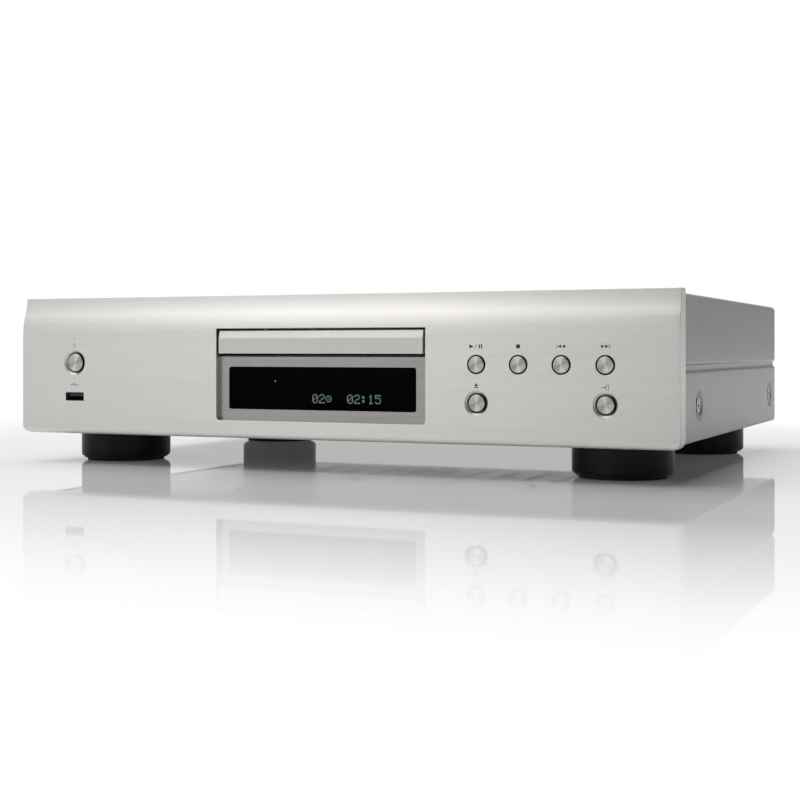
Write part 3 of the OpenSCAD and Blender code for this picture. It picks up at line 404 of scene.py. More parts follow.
def grained(name, colour, roughness, metallic, grain, contrast, depth, height,
            coat=0.0, specular=0.5, wear=0.0):
    """Plastic, paint or cast metal: speckled colour, mottled roughness, fine texture, rubbed edges."""
    s = Shader(name)
    speck = s.noise(s.coords.outputs["Object"], grain, 4.0, 0.6)
    cloud = s.noise(s.coords.outputs["Object"], 38.0, 3.0)
    tint = s.ramp(speck, list(zip((0.28, 0.5, 0.72), around(colour, contrast))))
    mottled = s.spread(cloud, roughness * 0.96, roughness * 1.05)
    rough = s.math("MULTIPLY", mottled, s.spread(speck, 0.97, 1.03))
    if wear > 0:
        geometry = s.add("ShaderNodeNewGeometry")
        edge = s.spread(geometry.outputs["Pointiness"], 0.0, wear, 0.52, 0.6)
        mix = s.add("ShaderNodeMix", data_type="RGBA")
        s.link(edge, mix.inputs["Factor"])
        s.link(tint, mix.inputs["A"])
        mix.inputs["B"].default_value = (*shade(colour, 1.9), 1.0)
        tint = mix.outputs["Result"]
    bsdf = s.principled(Base_Color=tint, Metallic=metallic, Roughness=rough,
                        Normal=s.bump(speck, depth, height))
    bsdf.inputs["Coat Weight"].default_value = coat
    bsdf.inputs["Coat Roughness"].default_value = 0.15
    bsdf.inputs["Specular IOR Level"].default_value = specular
    return s.material


def plated_sheet(name, colour, roughness):
    """Zinc-plated steel sheet: faint spangle, rolling lines along X and handling marks."""
    s = Shader(name)
    spangle = s.add("ShaderNodeTexVoronoi", feature="SMOOTH_F1")
    spangle.inputs["Scale"].default_value = 160.0
    s.link(s.coords.outputs["Object"], spangle.inputs["Vector"])
    roll = s.noise(s.stretched((20.0, 700.0, 700.0)), 1.0, 3.0)
    marks = s.noise(s.coords.outputs["Object"], 22.0, 5.0, 0.65)
    tone = s.math("ADD", s.math("MULTIPLY", spangle.outputs["Distance"], 0.5), s.math("MULTIPLY", roll, 0.5))
    tint = s.ramp(tone, [(0.2, shade(colour, 0.9)), (0.5, colour), (0.8, shade(colour, 1.06))])
    rough = s.math("MULTIPLY", s.spread(marks, roughness * 0.85, roughness * 1.2), s.spread(roll, 0.95, 1.06))
    s.principled(Base_Color=tint, Metallic=1.0, Roughness=rough, Normal=s.bump(roll, 0.2, 0.00003))
    return s.material


def glowing(name, colour, strength, body_colour):
    """A lit element: an even glow with a slightly darker grain."""
    s = Shader(name)
    grain = s.noise(s.coords.outputs["Object"], 1200.0, 2.0)
    tint = s.ramp(grain, [(0.3, shade(colour, 0.86)), (0.7, colour)])
    rough = s.spread(grain, 0.4, 0.5)
    bsdf = s.principled(Base_Color=(*body_colour, 1.0), Roughness=rough, Emission_Color=tint,
                        Normal=s.bump(grain, 0.1, 0.00002))
    bsdf.inputs["Emission Strength"].default_value = strength
    return s.material


def clear(name, colour, roughness, ior=1.49):
    """Tinted clear plastic or glass with faint moulding waves."""
    s = Shader(name)
    wave = s.noise(s.coords.outputs["Object"], 60.0, 2.0)
    tint = s.ramp(wave, [(0.3, shade(colour, 0.93)), (0.7, colour)])
    rough = s.spread(wave, roughness * 0.8, roughness * 1.3)
    bsdf = s.principled(Base_Color=tint, Roughness=rough, Normal=s.bump(wave, 0.05, 0.0001))
    bsdf.inputs["Transmission Weight"].default_value = 1.0
    bsdf.inputs["IOR"].default_value = ior
    return s.material


def printed_board(name, colour):
    """Solder mask over copper tracks: square blocks of slightly lighter green, with pad flecks."""
    s = Shader(name)
    blocks = s.add("ShaderNodeTexVoronoi", distance="CHEBYCHEV", feature="F1")
    blocks.inputs["Scale"].default_value = 260.0
    s.link(s.coords.outputs["Object"], blocks.inputs["Vector"])
    tracks = s.add("ShaderNodeTexBrick")
    tracks.inputs["Scale"].default_value = 210.0
    tracks.inputs["Mortar Size"].default_value = 0.012
    tracks.inputs["Color1"].default_value = (*colour, 1.0)
    tracks.inputs["Color2"].default_value = (*shade(colour, 1.25), 1.0)
    tracks.inputs["Mortar"].default_value = (*shade(colour, 1.7), 1.0)
    s.link(s.coords.outputs["Object"], tracks.inputs["Vector"])
    grain = s.noise(s.coords.outputs["Object"], 2500.0, 2.0)
    rough = s.spread(blocks.outputs["Distance"], 0.28, 0.42, 0.0, 0.6)
    s.principled(Base_Color=tracks.outputs["Color"], Roughness=rough, Normal=s.bump(grain, 0.15, 0.00003))
    return s.material


PANEL = brushed("panel_aluminium", (0.72, 0.71, 0.695), 0.36, 1500.0, 26.0, 0.05)
BEZEL = brushed("bezel_aluminium", (0.4, 0.4, 0.395), 0.34, 1500.0, 22.0, 0.16, anisotropy=0.5, depth=0.8)
CAP = turned("button_aluminium", (0.7, 0.685, 0.665), 0.42)
PAINT = grained("silver_paint", (0.34, 0.334, 0.32), 0.38, 0.65, 2600.0, 0.09, 0.2, 0.00003, coat=0.12)
DOOR = grained("door_paint", (0.72, 0.715, 0.68), 0.34, 0.5, 3000.0, 0.05, 0.12, 0.00002, coat=0.25)
BLACK_GLOSS = grained("surround_plastic", (0.006, 0.006, 0.006), 0.22, 0.0, 1500.0, 0.3, 0.05, 0.00002)
BLACK = grained("black_plastic", (0.022, 0.022, 0.023), 0.5, 0.0, 2200.0, 0.25, 0.35, 0.00004, wear=0.35)
FOOT = grained("foot_plastic", (0.004, 0.004, 0.0045), 0.32, 0.0, 2500.0, 0.25, 0.14, 0.00003, specular=0.22)
RUBBER = grained("pad_rubber", (0.018, 0.018, 0.018), 0.8, 0.0, 1300.0, 0.35, 0.5, 0.00008)
ZINC = plated_sheet("zinc_steel", (0.6, 0.6, 0.585), 0.36)
SCREW = grained("steel_screw", (0.36, 0.355, 0.34), 0.3, 1.0, 1800.0, 0.08, 0.2, 0.00002, wear=0.4)
MOTOR = grained("motor_can", (0.5, 0.5, 0.5), 0.27, 1.0, 1200.0, 0.06, 0.12, 0.00002)
BRASS = grained("brass_pinion", (0.72, 0.55, 0.24), 0.27, 1.0, 1500.0, 0.1, 0.15, 0.00002)
GOLD = grained("gold_contact", (0.85, 0.62, 0.25), 0.2, 1.0, 1500.0, 0.06, 0.1, 0.00002)
WHITE = grained("white_plastic", (0.72, 0.71, 0.66), 0.42, 0.0, 1500.0, 0.04, 0.15, 0.00003)
BOARD = printed_board("board_laminate", (0.012, 0.085, 0.035))
CORE = grained("core_steel", (0.25, 0.24, 0.225), 0.45, 0.8, 900.0, 0.2, 0.4, 0.00006)
SLEEVE = grained("capacitor_sleeve", (0.02, 0.028, 0.075), 0.28, 0.0, 1500.0, 0.1, 0.08, 0.00003, coat=0.3)
RIBBON = grained("ribbon_plastic", (0.72, 0.72, 0.69), 0.4, 0.0, 1300.0, 0.05, 0.1, 0.00003)
BELT = grained("belt_rubber", (0.012, 0.012, 0.012), 0.6, 0.0, 1500.0, 0.3, 0.3, 0.00004)
TUBE = grained("display_glass", (0.004, 0.006, 0.007), 0.18, 0.0, 900.0, 0.3, 0.04, 0.00002)
WINDOW = clear("window_plastic", (0.03, 0.031, 0.033), 0.03, 1.08)
LENS = clear("lens_acrylic", (0.55, 0.6, 0.9), 0.02)
LED = glowing("light_acrylic", (0.04, 0.5, 0.17), 1.3, (0.02, 0.3, 0.09))
LIT = glowing("display_light", (0.52, 0.76, 0.8), 13.0, (0.1, 0.14, 0.15))
INK = grained("printed_ink", (0.02, 0.02, 0.02), 0.5, 0.0, 3000.0, 0.25, 0.1, 0.00001)
INK_PALE = grained("printed_ink_pale", (0.17, 0.17, 0.168), 0.5, 0.0, 3000.0, 0.15, 0.1, 0.00001)
COIL = grained("coil_tape", (0.62, 0.42, 0.1), 0.42, 0.0, 1200.0, 0.1, 0.2, 0.00004)


# ---------------------------------------------------------------- front panel
def panel_profile():
    """Section of the panel as (depth behind the front face, height), clockwise from the lower back."""
    depth = panel_high.y - FRONT
    top, low = panel_high.z, panel_low.z
    start, r, half = top - OGEE_RISE, 40.7, 13.5
    roll = 4
    angle = math.degrees(math.asin(half / r))
    points = [(depth, low)] + arc(roll, low + roll, roll, 270, 180, 12)
    points += arc(r, start, r, 180, 180 - angle, 28)
    centre = r - 2 * r * math.cos(math.radians(angle))
    end = math.degrees(math.asin((start + 2 * half - top) / r))
    points += arc(centre, start + 2 * half, r, -angle, -end, 24)[1:]
    return points + [(depth, top)]


def button_place(name):
    low, high = node_box(name + "_button")
    return (low.x + high.x) / 2, (low.z + high.z) / 2


def cap_radius(name):
    return {"power": 5.7, "eject": 4.8, "source": 4.8}.get(name, 4.6)


def hole_radius(name):
    return cap_radius(name) + (0.5 if name in DISHED else 0.85)


bm = bmesh.new()
half_width = panel_high.x
prism(bm, panel_profile(), across_panel, -half_width, half_width)
corner_x = half_width - PANEL_CORNER_R
for x in (-SLOT_HALF - 1.0, SLOT_HALF + 1.0, -corner_x, corner_x):
    everything = bm.verts[:] + bm.edges[:] + bm.faces[:]
    bmesh.ops.bisect_plane(bm, geom=everything, plane_co=(x, 0, 0), plane_no=(1, 0, 0))
panel = to_object("front_panel_shell", bm)

bm = bmesh.new()
for side in (-1, 1):
    corner = [(side * (half_width + 2), panel_low.z - 2), (side * corner_x, panel_low.z - 2)]
    corner += [(side * u, v) for u, v in
               arc(corner_x, panel_low.z + PANEL_CORNER_R, PANEL_CORNER_R, -90, 0, 12)]
    corner += [(side * (half_width + 2), panel_low.z + PANEL_CORNER_R)]
    prism(bm, corner, facing_front, FRONT - BEYOND, panel_high.y + BEYOND)
RIM, END_WALL, OPEN_BACK = 2.5, 3, 30
inner = [(WALL, panel_low.z + RIM), (WALL, panel_high.z - OGEE_RISE), (8.4, panel_high.z - RIM),
         (OPEN_BACK, panel_high.z - RIM), (OPEN_BACK, panel_low.z + RIM)]
prism(bm, inner, across_panel, -half_width + END_WALL, half_width - END_WALL)
opening = [(-SLOT_HALF, SLOT_LOW), *arc(-SLOT_HALF + 2.5, RECESS_LOW + 2.5, 2.5, 180, 270, 8),
           *arc(SLOT_HALF - 2.5, RECESS_LOW + 2.5, 2.5, 270, 360, 8),
           *arc(SLOT_HALF - 0.7, SLOT_TOP - 0.7, 0.7, 0, 90, 5),
           *arc(-SLOT_HALF + 0.7, SLOT_TOP - 0.7, 0.7, 90, 180, 5)]
prism(bm, opening, facing_front, FRONT - BEYOND, panel_high.y + BEYOND)
pocket = rectangle(-SLOT_HALF - 3.2, SLOT_LOW, SLOT_HALF + 3.2, SLOT_TOP + 2.9)
prism(bm, pocket, facing_front, FRONT + WALL, panel_high.y + BEYOND)
usb_x, usb_z = (usb_low.x + usb_high.x) / 2, (usb_low.z + usb_high.z) / 2
USB_HALF, USB_HALF_HIGH = 7, 2.7
port = round_rectangle(usb_x - USB_HALF, usb_z - USB_HALF_HIGH, usb_x + USB_HALF, usb_z + USB_HALF_HIGH,
                       0.6, 0.6, 5)
prism(bm, port, facing_front, FRONT - BEYOND, FRONT + WALL + 2)
light_x, light_z = (light_low.x + light_high.x) / 2, (light_low.z + light_high.z) / 2
LIGHT_HOLE_R, BORE_END = 0.9, 6
lathe(bm, [(0, -BEYOND), (LIGHT_HOLE_R, -BEYOND), (LIGHT_HOLE_R, BORE_END), (0, BORE_END)],
      (light_x, FRONT, light_z), (0, 1, 0), 32, False)
for name in BUTTONS:
    x, z = button_place(name)
    r = hole_radius(name)
    if name in DISHED:
        cove = [(r + 2.1, -0.4), (r + 1.75, 0.03), (r + 1.5, 0.32), (r + 1.05, 0.72),
                (r + 0.55, 1.12), (r, 1.8)]
    else:
        cove = [(r, -0.4)]
    lathe(bm, [(0, -BEYOND), (cove[0][0], -BEYOND), *cove, (r, BORE_END), (0, BORE_END)],
          (x, FRONT, z), (0, 1, 0), 72, False)
carve(panel, to_object("cutter", bm))
lay_uv(panel)
crisp(panel, 0.22, 2, 30)
dress(panel, PANEL, "casing", ["front_panel"])

# ---------------------------------------------------------------- display bezel and window
bm = bmesh.new()
prism(bm, rectangle(bezel_low.x, bezel_low.z, bezel_high.x, bezel_high.z), facing_front,
      bezel_low.y, bezel_high.y)
bezel = to_object("display_bezel_plate", bm)
bm = bmesh.new()
prism(bm, round_rectangle(-WINDOW_HALF, WINDOW_LOW, WINDOW_HALF, WINDOW_TOP, 1.5, 1.5), facing_front,
      bezel_low.y - 2, bezel_high.y + 2)
carve(bezel, to_object("cutter", bm))
lay_uv(bezel)
crisp(bezel, 0.18, 2, 30)
dress(bezel, BEZEL, "casing", ["display_bezel"])

bm = bmesh.new()
WINDOW_GAP, WINDOW_FLANGE = 0.1, 1.15
pane = round_rectangle(-WINDOW_HALF + WINDOW_GAP, WINDOW_LOW + WINDOW_GAP, WINDOW_HALF - WINDOW_GAP,
                       WINDOW_TOP - WINDOW_GAP, 1.4, 1.4)
prism(bm, pane, facing_front, window_low.y, window_high.y - WINDOW_FLANGE)
window = crisp(to_object("display_window_face", bm), 0.15, 2, 30)
dress(window, WINDOW, "casing", ["display_window"])

FONT = {
    "0": "01110 10001 10011 10101 11001 10001 01110",
    "1": "00100 01100 00100 00100 00100 00100 01110",
    "2": "01110 10001 00001 00110 01000 10000 11111",
    "5": "11111 10000 11110 00001 00001 10001 01110",
    ":": "00000 01100 01100 00000 01100 01100 00000",
    "o": "00000 01110 10001 10101 10001 01110 00000",
}
DOT_PITCH = 0.78
DOT = 0.56
ADVANCE = 4.56
FIGURES_Z = 41.9


def lit_text(bm, text, x):
    """Figures made of square dots; x is the first figure's lower left dot."""
    for place, letter in enumerate(text):
        for row, cells in enumerate(FONT.get(letter, "").split()):
            for column, cell in enumerate(cells):
                if cell == "1":
                    cx = x + place * ADVANCE + column * DOT_PITCH
                    cz = FIGURES_Z + (6 - row) * DOT_PITCH
                    prism(bm, bar(cx, cz, DOT, DOT), facing_front, module_front - 0.12, module_front - 0.02)


bm = bmesh.new()
lit_text(bm, "02o", -6.2)
lit_text(bm, "02:15", 17.1)
lathe(bm, [(0, 0), (0.5, 0), (0.5, 0.1), (0, 0.1)], (-31.8, module_front - 0.14, 54.5), (0, 1, 0), 24, False)
dress(to_object("display_figures", bm), LIT, "casing")

# ---------------------------------------------------------------- tray door
edge_z, setback = 80.5, 1.3
bm = bmesh.new()
prism(bm, [(0, door_low.z + 0.25), (0.25, door_low.z), (door_high.y - FRONT, door_low.z),
           (door_high.y - FRONT, door_high.z), (setback + 0.25, door_high.z), (setback, door_high.z - 0.25),
           (0, edge_z)],
      across_panel, door_low.x, door_high.x)
door = crisp(to_object("tray_door_face", bm), 0.3, 3, 10)
dress(door, DOOR, "tray", ["tray_door"])

# ---------------------------------------------------------------- buttons
SHADED_SIDE_FROM = 0.45  # a cap is metal to this depth behind its face and black behind that: black plastic on the stem and flange, painted shade on the side seen in the gap round the cap
for name in BUTTONS:
    low, high = node_box(name + "_button")
    x, z = button_place(name)
    r = cap_radius(name)
    face = low.y - FRONT
    flange_r = (high.x - low.x) / 2
    stem = high.y - FRONT
    crown = [(0, face + 0.1), (r * 0.5, face + 0.07), (r * 0.8, face + 0.02), (r - 0.55, face),
             (r - 0.3, face + 0.06), (r - 0.1, face + 0.22), (r, face + 0.5)]
    bm = bmesh.new()
    lathe(bm, [*crown, (r, WALL + 0.3), (flange_r, WALL + 0.3), (flange_r, WALL + 1.3), (2, WALL + 1.3),
               (2, stem), (0, stem)], (0, 0, 0), (0, 1, 0), 96, False)
    cap = to_object(name + "_button_cap", bm)
    cap.location = Vector((x, FRONT, z)) * MM
    crisp(cap, 0.06, 2, 40, clamp=True)
    dress(cap, CAP, name + "_key", [name + "_button"])
    # second material, black: real plastic on the stem and flange, painted shade on the cap's side inside the
    # gap
    cap.data.materials.append(BLACK_GLOSS)
    for polygon in cap.data.polygons:
        if polygon.center.y > (face + SHADED_SIDE_FROM) * MM:
            polygon.material_index = 1

# Thin black sleeves lining each button hole: painted shade, so the gap round each cap reads dark.
bm = bmesh.new()
for name in BUTTONS:
    x, z = button_place(name)
    r = hole_radius(name)
    start = 1.9 if name in DISHED else 0.4
    lathe(bm, [(r + 0.02, start), (r - 0.13, start), (r - 0.13, WALL), (r + 0.02, WALL)],
          (x, FRONT, z), (0, 1, 0), 64)
dress(crisp(to_object("button_gap_painted_shade", bm), 0.04, 1, 40), BLACK, "casing")

CONTACT_PITCH = 2.3
bm = bmesh.new()
for i in range(4):
    x = usb_x + (i - 1.5) * CONTACT_PITCH
    prism(bm, rectangle(x - 0.5, usb_z + 0.17, x + 0.5, usb_z + 0.24), facing_front,
          usb_low.y + 1.6, usb_low.y + 9)
dress(to_object("usb_contacts", bm), GOLD, "casing")


# ---------------------------------------------------------------- printed symbols
def printed(name, outlines, x, z, ink=INK):
    """Flat closed marks 0.025 mm proud of the front face; outlines are lists of points round (x, z)."""
    bm = bmesh.new()
    for outline in outlines:
        prism(bm, [(x + u, z + v) for u, v in outline], facing_front, FRONT - 0.025, FRONT + 0.02)
    return dress(to_object(name, bm), ink, "casing")


def triangle(x, z, w, h):
    return [(x, z - h / 2), (x + w, z), (x, z + h / 2)]


def ring_strokes(cx, cz, r, t, a0, a1, pieces=16):
    made = []
    for i in range(pieces):
        a = math.radians(a0 + (a1 - a0) * i / pieces)
        b = math.radians(a0 + (a1 - a0) * (i + 1) / pieces)
        made.append([(cx + q * math.cos(p), cz + q * math.sin(p))
                     for q, p in ((r - t / 2, a), (r + t / 2, a), (r + t / 2, b), (r - t / 2, b))])
    return made


MARK_Z, LOWER_MARK_Z = 75.5, 53.0
places = {name: button_place(name) for name in BUTTONS}
printed("play_pause_mark",
        [triangle(-4.1, 0, 2.5, 2.3), [(-0.9, -1.2), (-0.6, -1.2), (0.5, 1.2), (0.2, 1.2)],
         bar(1.9, 0, 0.75, 2.3), bar(3.3, 0, 0.75, 2.3)], places["play"][0], MARK_Z)
printed("stop_mark", [bar(0, 0, 2.2, 2.2)], places["stop"][0], MARK_Z)
for name, side in (("previous", -1), ("next", 1)):
    printed(name + "_mark",
            [bar(side * 2.35, 0, 0.35, 1.9), triangle(side * -0.05, 0, side * 2.0, 1.9),
             triangle(side * -2.35, 0, side * 2.0, 1.9)],
            places[name][0], MARK_Z)
printed("eject_mark", [[(-1.2, 0), (1.2, 0), (0, 1.7)], bar(0, -0.75, 2.4, 0.5)], places["eject"][0],
        LOWER_MARK_Z)
printed("source_mark",
        [bar(-0.9, 0, 2.6, 0.32), triangle(0.1, 0, 1.3, 1.5), bar(2.3, 0, 0.32, 2.6),
         bar(1.55, 1.3, 1.5, 0.3), bar(1.55, -1.3, 1.5, 0.3)],
        places["source"][0] - 0.4, LOWER_MARK_Z, INK_PALE)
printed("power_mark", [*ring_strokes(0, 0, 1.05, 0.24, 125, 415), bar(0, 0.85, 0.24, 1.3)],
        places["power"][0], 76.1, INK_PALE)
printed("usb_mark",
        [bar(0.2, 0, 4.2, 0.26), triangle(2.2, 0, 1.0, 0.8), *ring_strokes(-2.1, 0, 0.3, 0.5, 0, 360, 12),
         [(-1.1, 0.05), (-0.8, 0.05), (0.0, 0.85), (0.0, 1.05), (-0.25, 1.0)],
         bar(0.45, 0.95, 0.95, 0.26),
         [(-0.3, -0.05), (0.0, -0.05), (0.8, -0.85), (0.7, -1.05), (0.55, -1.0)],
         bar(1.2, -0.95, 0.85, 0.26)],
        usb_x, 51.1, INK_PALE)

# ---------------------------------------------------------------- cover
GROOVE_Z, GROOVE_HALF, GROOVE_DEPTH = 63.3, 2.85, 1.3
DIMPLES = [(-105.3, 41.8), (134.1, 41.8)]
DIMPLE_R, DIMPLE_FLOOR, DIMPLE_DEPTH = 9.6, 5.3, 1.95
SHEET = 0.8
TOP_REAR_R, LOW_REAR_R = 3.0, 4.0


def smooth_step(t):
    t = min(1.0, max(0.0, t))
    return t * t * (3 - 2 * t)


def spaced(a, b, step):
    count = max(1, round(abs(b - a) / step))
    return [a + (b - a) * i / count for i in range(count + 1)]


def cover_path():
    """Half of the cover's section from the folded lower edge to the middle of the top."""
    x, low, top = cover_high.x, cover_low.z, cover_high.z
    bend = 3.0
    points = [(x - 2.7, low)] + arc(x - 1.2, low + 1.2, 1.2, 270, 360, 5)
    points += [(x, z) for z in spaced(low + 3, 30.5, 3.0)]
    points += [(x, z) for z in spaced(31.1, 52.5, 0.62)]
    points += [(x, z) for z in spaced(54.5, GROOVE_Z - GROOVE_HALF - 0.4, 2.5)]
    for i in range(21):
        z = GROOVE_Z + (i / 10 - 1) * GROOVE_HALF
        points.append((x - GROOVE_DEPTH * smooth_step((GROOVE_HALF - abs(z - GROOVE_Z)) / 1.75), z))
    points += [(x, z) for z in spaced(GROOVE_Z + GROOVE_HALF + 0.4, top - bend - 0.5, 6.0)]
    points += arc(x - bend, top - bend, bend, 0, 90, 10)
    points += [(u, top) for u in spaced(x - bend - 1.5, 0, 24.0)]
    return points


half_path = cover_path()
path = half_path + [(-u, v) for u, v in reversed(half_path[:-1])]
y_marks = [cover_low.y]
for centre, _ in DIMPLES:
    y_marks += spaced(centre - 10.5, centre + 10.5, 0.62)
y_marks += spaced(y_marks[-1] + 1.5, cover_high.y - 4.2, 3.0)
y_marks += spaced(cover_high.y - 3.9, cover_high.y, 0.35)
y_marks = sorted(set([round(y, 3) for y in y_marks] + spaced(cover_low.y + 3, DIMPLES[0][0] - 12, 8.0)
                     + spaced(DIMPLES[0][0] + 12, DIMPLES[1][0] - 12, 10.0)))


def at_rear(y, radius):
    """How far a rounded rear corner of this radius has drawn in at y."""
    reach = max(0.0, y - (cover_high.y - radius))
    return radius - math.sqrt(max(0.0, radius * radius - reach * reach))


bm = bmesh.new()
grid = []
for y in y_marks:
    row = []
    for u, v in path:
        side = 1 if u > 0 else -1
        if abs(u) > cover_high.x - 0.01:
            for cy, cz in DIMPLES:
                r = math.hypot(y - cy, v - cz)
                u -= side * DIMPLE_DEPTH * smooth_step((DIMPLE_R - r) / (DIMPLE_R - DIMPLE_FLOOR))
        v = min(v, cover_high.z - at_rear(y, TOP_REAR_R))
        v = max(v, cover_low.z + at_rear(y, LOW_REAR_R))
        row.append(bm.verts.new((u, y, v)))
    grid.append(row)
for a, b in zip(grid, grid[1:]):
    for i in range(len(path) - 1):
        bm.faces.new((a[i], a[i + 1], b[i + 1], b[i]))
cover = to_object("cover_shell", bm, 1e-5)
middle_face = cover.data.polygons[len(cover.data.polygons) // 2]
thick = cover.modifiers.new("thickness", "SOLIDIFY")
thick.thickness = SHEET * MM
thick.offset = -1.0 if middle_face.normal.z > 0 else 1.0
thick.use_even_offset = True
apply_modifiers(cover)
bm = bmesh.new()
bm.from_mesh(cover.data)
lip = bmesh.new()
LIP_TOP = cover_high.z - 0.9
lip_profile = [(cover_high.y - 1.9, LIP_TOP), (cover_high.y - 1.9, 93.6), (cover_high.y - 1.1, 93.0),
               (cover_high.y - 1.05, LIP_TOP)]
prism(lip, lip_profile, facing_side, cover_low.x + 6, cover_high.x - 6)
bmesh.ops.recalc_face_normals(lip, faces=lip.faces)
bmesh.ops.scale(lip, vec=(MM, MM, MM), verts=lip.verts)
spare = bpy.data.meshes.new("spare")
lip.to_mesh(spare)
lip.free()
bm.from_mesh(spare)
bpy.data.meshes.remove(spare)
bm.to_mesh(cover.data)
bm.free()
shade_smooth(cover.data)
crisp(cover, 0.18, 2, 40)
dress(cover, PAINT, "casing", ["top_cover"])

# ---------------------------------------------------------------- feet
for name in FEET:
    low, high = node_box(name)
    x, y = (low.x + high.x) / 2, (low.y + high.y) / 2
    r, top = (high.x - low.x) / 2, high.z
    bm = bmesh.new()
    lathe(bm, [(2.2, top), (r - 0.35, top), (r - 0.1, top - 0.12), (r, top - 0.4), (r, 4.1), (r - 0.12, 3.55),
               (r - 0.55, 3.05), (r - 1.95, 1.75), (r - 2.3, 1.55), (r - 2.8, 1.5), (r - 3.9, 1.5),
               (r - 3.95, 2.2), (4.6, 2.2), (4.6, 12), (2.2, 12)], (0, 0, 0), (0, 0, 1), 144)
    foot = to_object(name + "_body", bm)
    foot.location = Vector((x, y, 0)) * MM
    crisp(foot, 0.12, 2, 50, clamp=True)
    dress(foot, FOOT, "casing", [name])

# ---------------------------------------------------------------- carried-over CAD nodes
KEPT = {
    "front_frame": (BLACK, 0.25), "display_module": (TUBE, 0.2), "tray_surround": (BLACK_GLOSS, 0.18),
    "chassis_base": (ZINC, 0.12), "rear_panel": (PAINT, 0.12), "foot_pads": (RUBBER, 0.3),
    "foot_screws": (SCREW, 0.12), "cover_screws": (SCREW, 0.16), "chassis_screws": (SCREW, 0.12),
    "mechanism_screws": (SCREW, 0.12), "tact_switches": (BLACK, 0.12), "front_board": (BOARD, 0.08),
    "power_key_board": (BOARD, 0.08), "power_light": (LED, 0.1), "usb_socket": (BLACK, 0.06),
    "loader_frame": (BLACK, 0.3), "disc_tray": (BLACK, 0.35), "loading_motor": (MOTOR, 0.3),
    "loading_motor_pulley": (WHITE, 0.12), "loading_belt": (BELT, 0.1), "pulley_gear": (WHITE, 0.1),
    "loading_gear": (WHITE, 0.1), "cam_slider": (WHITE, 0.2), "traverse_frame": (BLACK, 0.25),
    "guide_rods": (SCREW, 0.15), "spindle_motor": (MOTOR, 0.3), "turntable": (BLACK, 0.2),
    "sled_motor": (MOTOR, 0.3), "sled_motor_pinion": (BRASS, 0.06), "sled_gear": (WHITE, 0.08),
    "pickup_sled": (BLACK, 0.2), "pickup_lens": (LENS, 0.15), "clamp_bridge": (ZINC, 0.15),
    "disc_clamper": (BLACK, 0.25), "main_board": (BOARD, 0.12), "power_board": (BOARD, 0.12),
    "transformer": (CORE, 0.4), "filter_capacitors": (SLEEVE, 0.4), "ribbon_cables": (RIBBON, 0.06),
    "phono_jacks": (GOLD, 0.15), "jack_blocks": (BLACK, 0.2), "optical_socket": (BLACK, 0.04),
    "optical_shutter": (BLACK, 0.04), "ac_inlet": (BLACK, 0.25),
}
BOARD_TOP = 31.65  # what stands higher on a board is a component
LEVEL = 0.9  # a face counts as level above this share of Z in its normal
COIL_X = sum(corner.x for corner in node_box("transformer")) / 2
COIL_HALF, COIL_LOW = 23, 26
CORE_LOW, CORE_TOP = 38.7, 61.8


def is_component(centre, normal):
    return centre.z > BOARD_TOP


def is_can_top(centre, normal):
    return normal.z > LEVEL


def is_coil(centre, normal):
    if centre.z > CORE_TOP + 1:
        return True
    outside_core = centre.z > COIL_LOW and not CORE_LOW < centre.z < CORE_TOP
    return outside_core and abs(centre.x - COIL_X) < COIL_HALF and abs(normal.z) < LEVEL


# Second material of a node, and the test that says which faces have it
SECOND = {
    "main_board": (BLACK, is_component), "power_board": (MOTOR, is_component),
    "filter_capacitors": (MOTOR, is_can_top), "transformer": (COIL, is_coil),
}
for name, (material, width) in KEPT.items():
    kept = nodes[name]
    kept.data.materials.clear()
    kept.data.materials.append(material)
    if name in SECOND:
        second, chosen = SECOND[name]
        kept.data.materials.append(second)
        for polygon in kept.data.polygons:
            centre = kept.matrix_world @ polygon.center / MM
            if chosen(centre, polygon.normal):
                polygon.material_index = 1
    crisp(kept, width, 2, 34, planar=True)

# ---------------------------------------------------------------- floor, lights, world
s = Shader("studio_floor")
place = s.add("ShaderNodeSeparateXYZ")
s.link(s.coords.outputs["Object"], place.inputs["Vector"])
out_x = s.math("MAXIMUM", s.math("SUBTRACT", s.math("ABSOLUTE", place.outputs["X"]), cad_box[1].x), 0.0)
out_y = s.math("MAXIMUM", s.math("SUBTRACT", s.math("ABSOLUTE", place.outputs["Y"]), cad_box[1].y), 0.0)
away = s.math("SQRT", s.math("ADD", s.math("MULTIPLY", out_x, out_x), s.math("MULTIPLY", out_y, out_y)))
grazing = s.add("ShaderNodeLayerWeight")
grazing.inputs["Blend"].default_value = 0.5
mirror_near = s.spread(away, 0.5, 0.0, 0.14, 0.42)
mirror = s.math("MULTIPLY", mirror_near, s.spread(grazing.outputs["Facing"], 0.25, 1.0, 0.35, 0.88))
diffuse = s.add("ShaderNodeBsdfDiffuse")
far_white = s.add("ShaderNodeEmission")
mottle = s.noise(s.coords.outputs["Object"], 3.0, 2.0)
s.link(s.ramp(mottle, [(0.3, (0.9, 0.9, 0.9)), (0.7, (0.92, 0.92, 0.92))]), diffuse.inputs["Color"])
gloss = s.add("ShaderNodeBsdfGlossy")
gloss.inputs["Roughness"].default_value = 0.03
gloss.inputs["Color"].default_value = (0.97, 0.97, 0.975, 1.0)
sweep = s.add("ShaderNodeMixShader")
brighter = s.math("ADD", s.spread(away, 0.05, 0.27, 0.0, 0.06), s.spread(away, 0.0, 0.73, 0.05, 0.36))
s.link(brighter, sweep.inputs["Fac"])
s.link(diffuse.outputs["BSDF"], sweep.inputs[1])
s.link(far_white.outputs["Emission"], sweep.inputs[2])
mix = s.add("ShaderNodeMixShader")
s.link(mirror, mix.inputs["Fac"])
s.link(sweep.outputs["Shader"], mix.inputs[1])
s.link(gloss.outputs["BSDF"], mix.inputs[2])
s.link(mix.outputs["Shader"], s.out.inputs["Surface"])
bm = bmesh.new()
FLOOR_HALF = 9
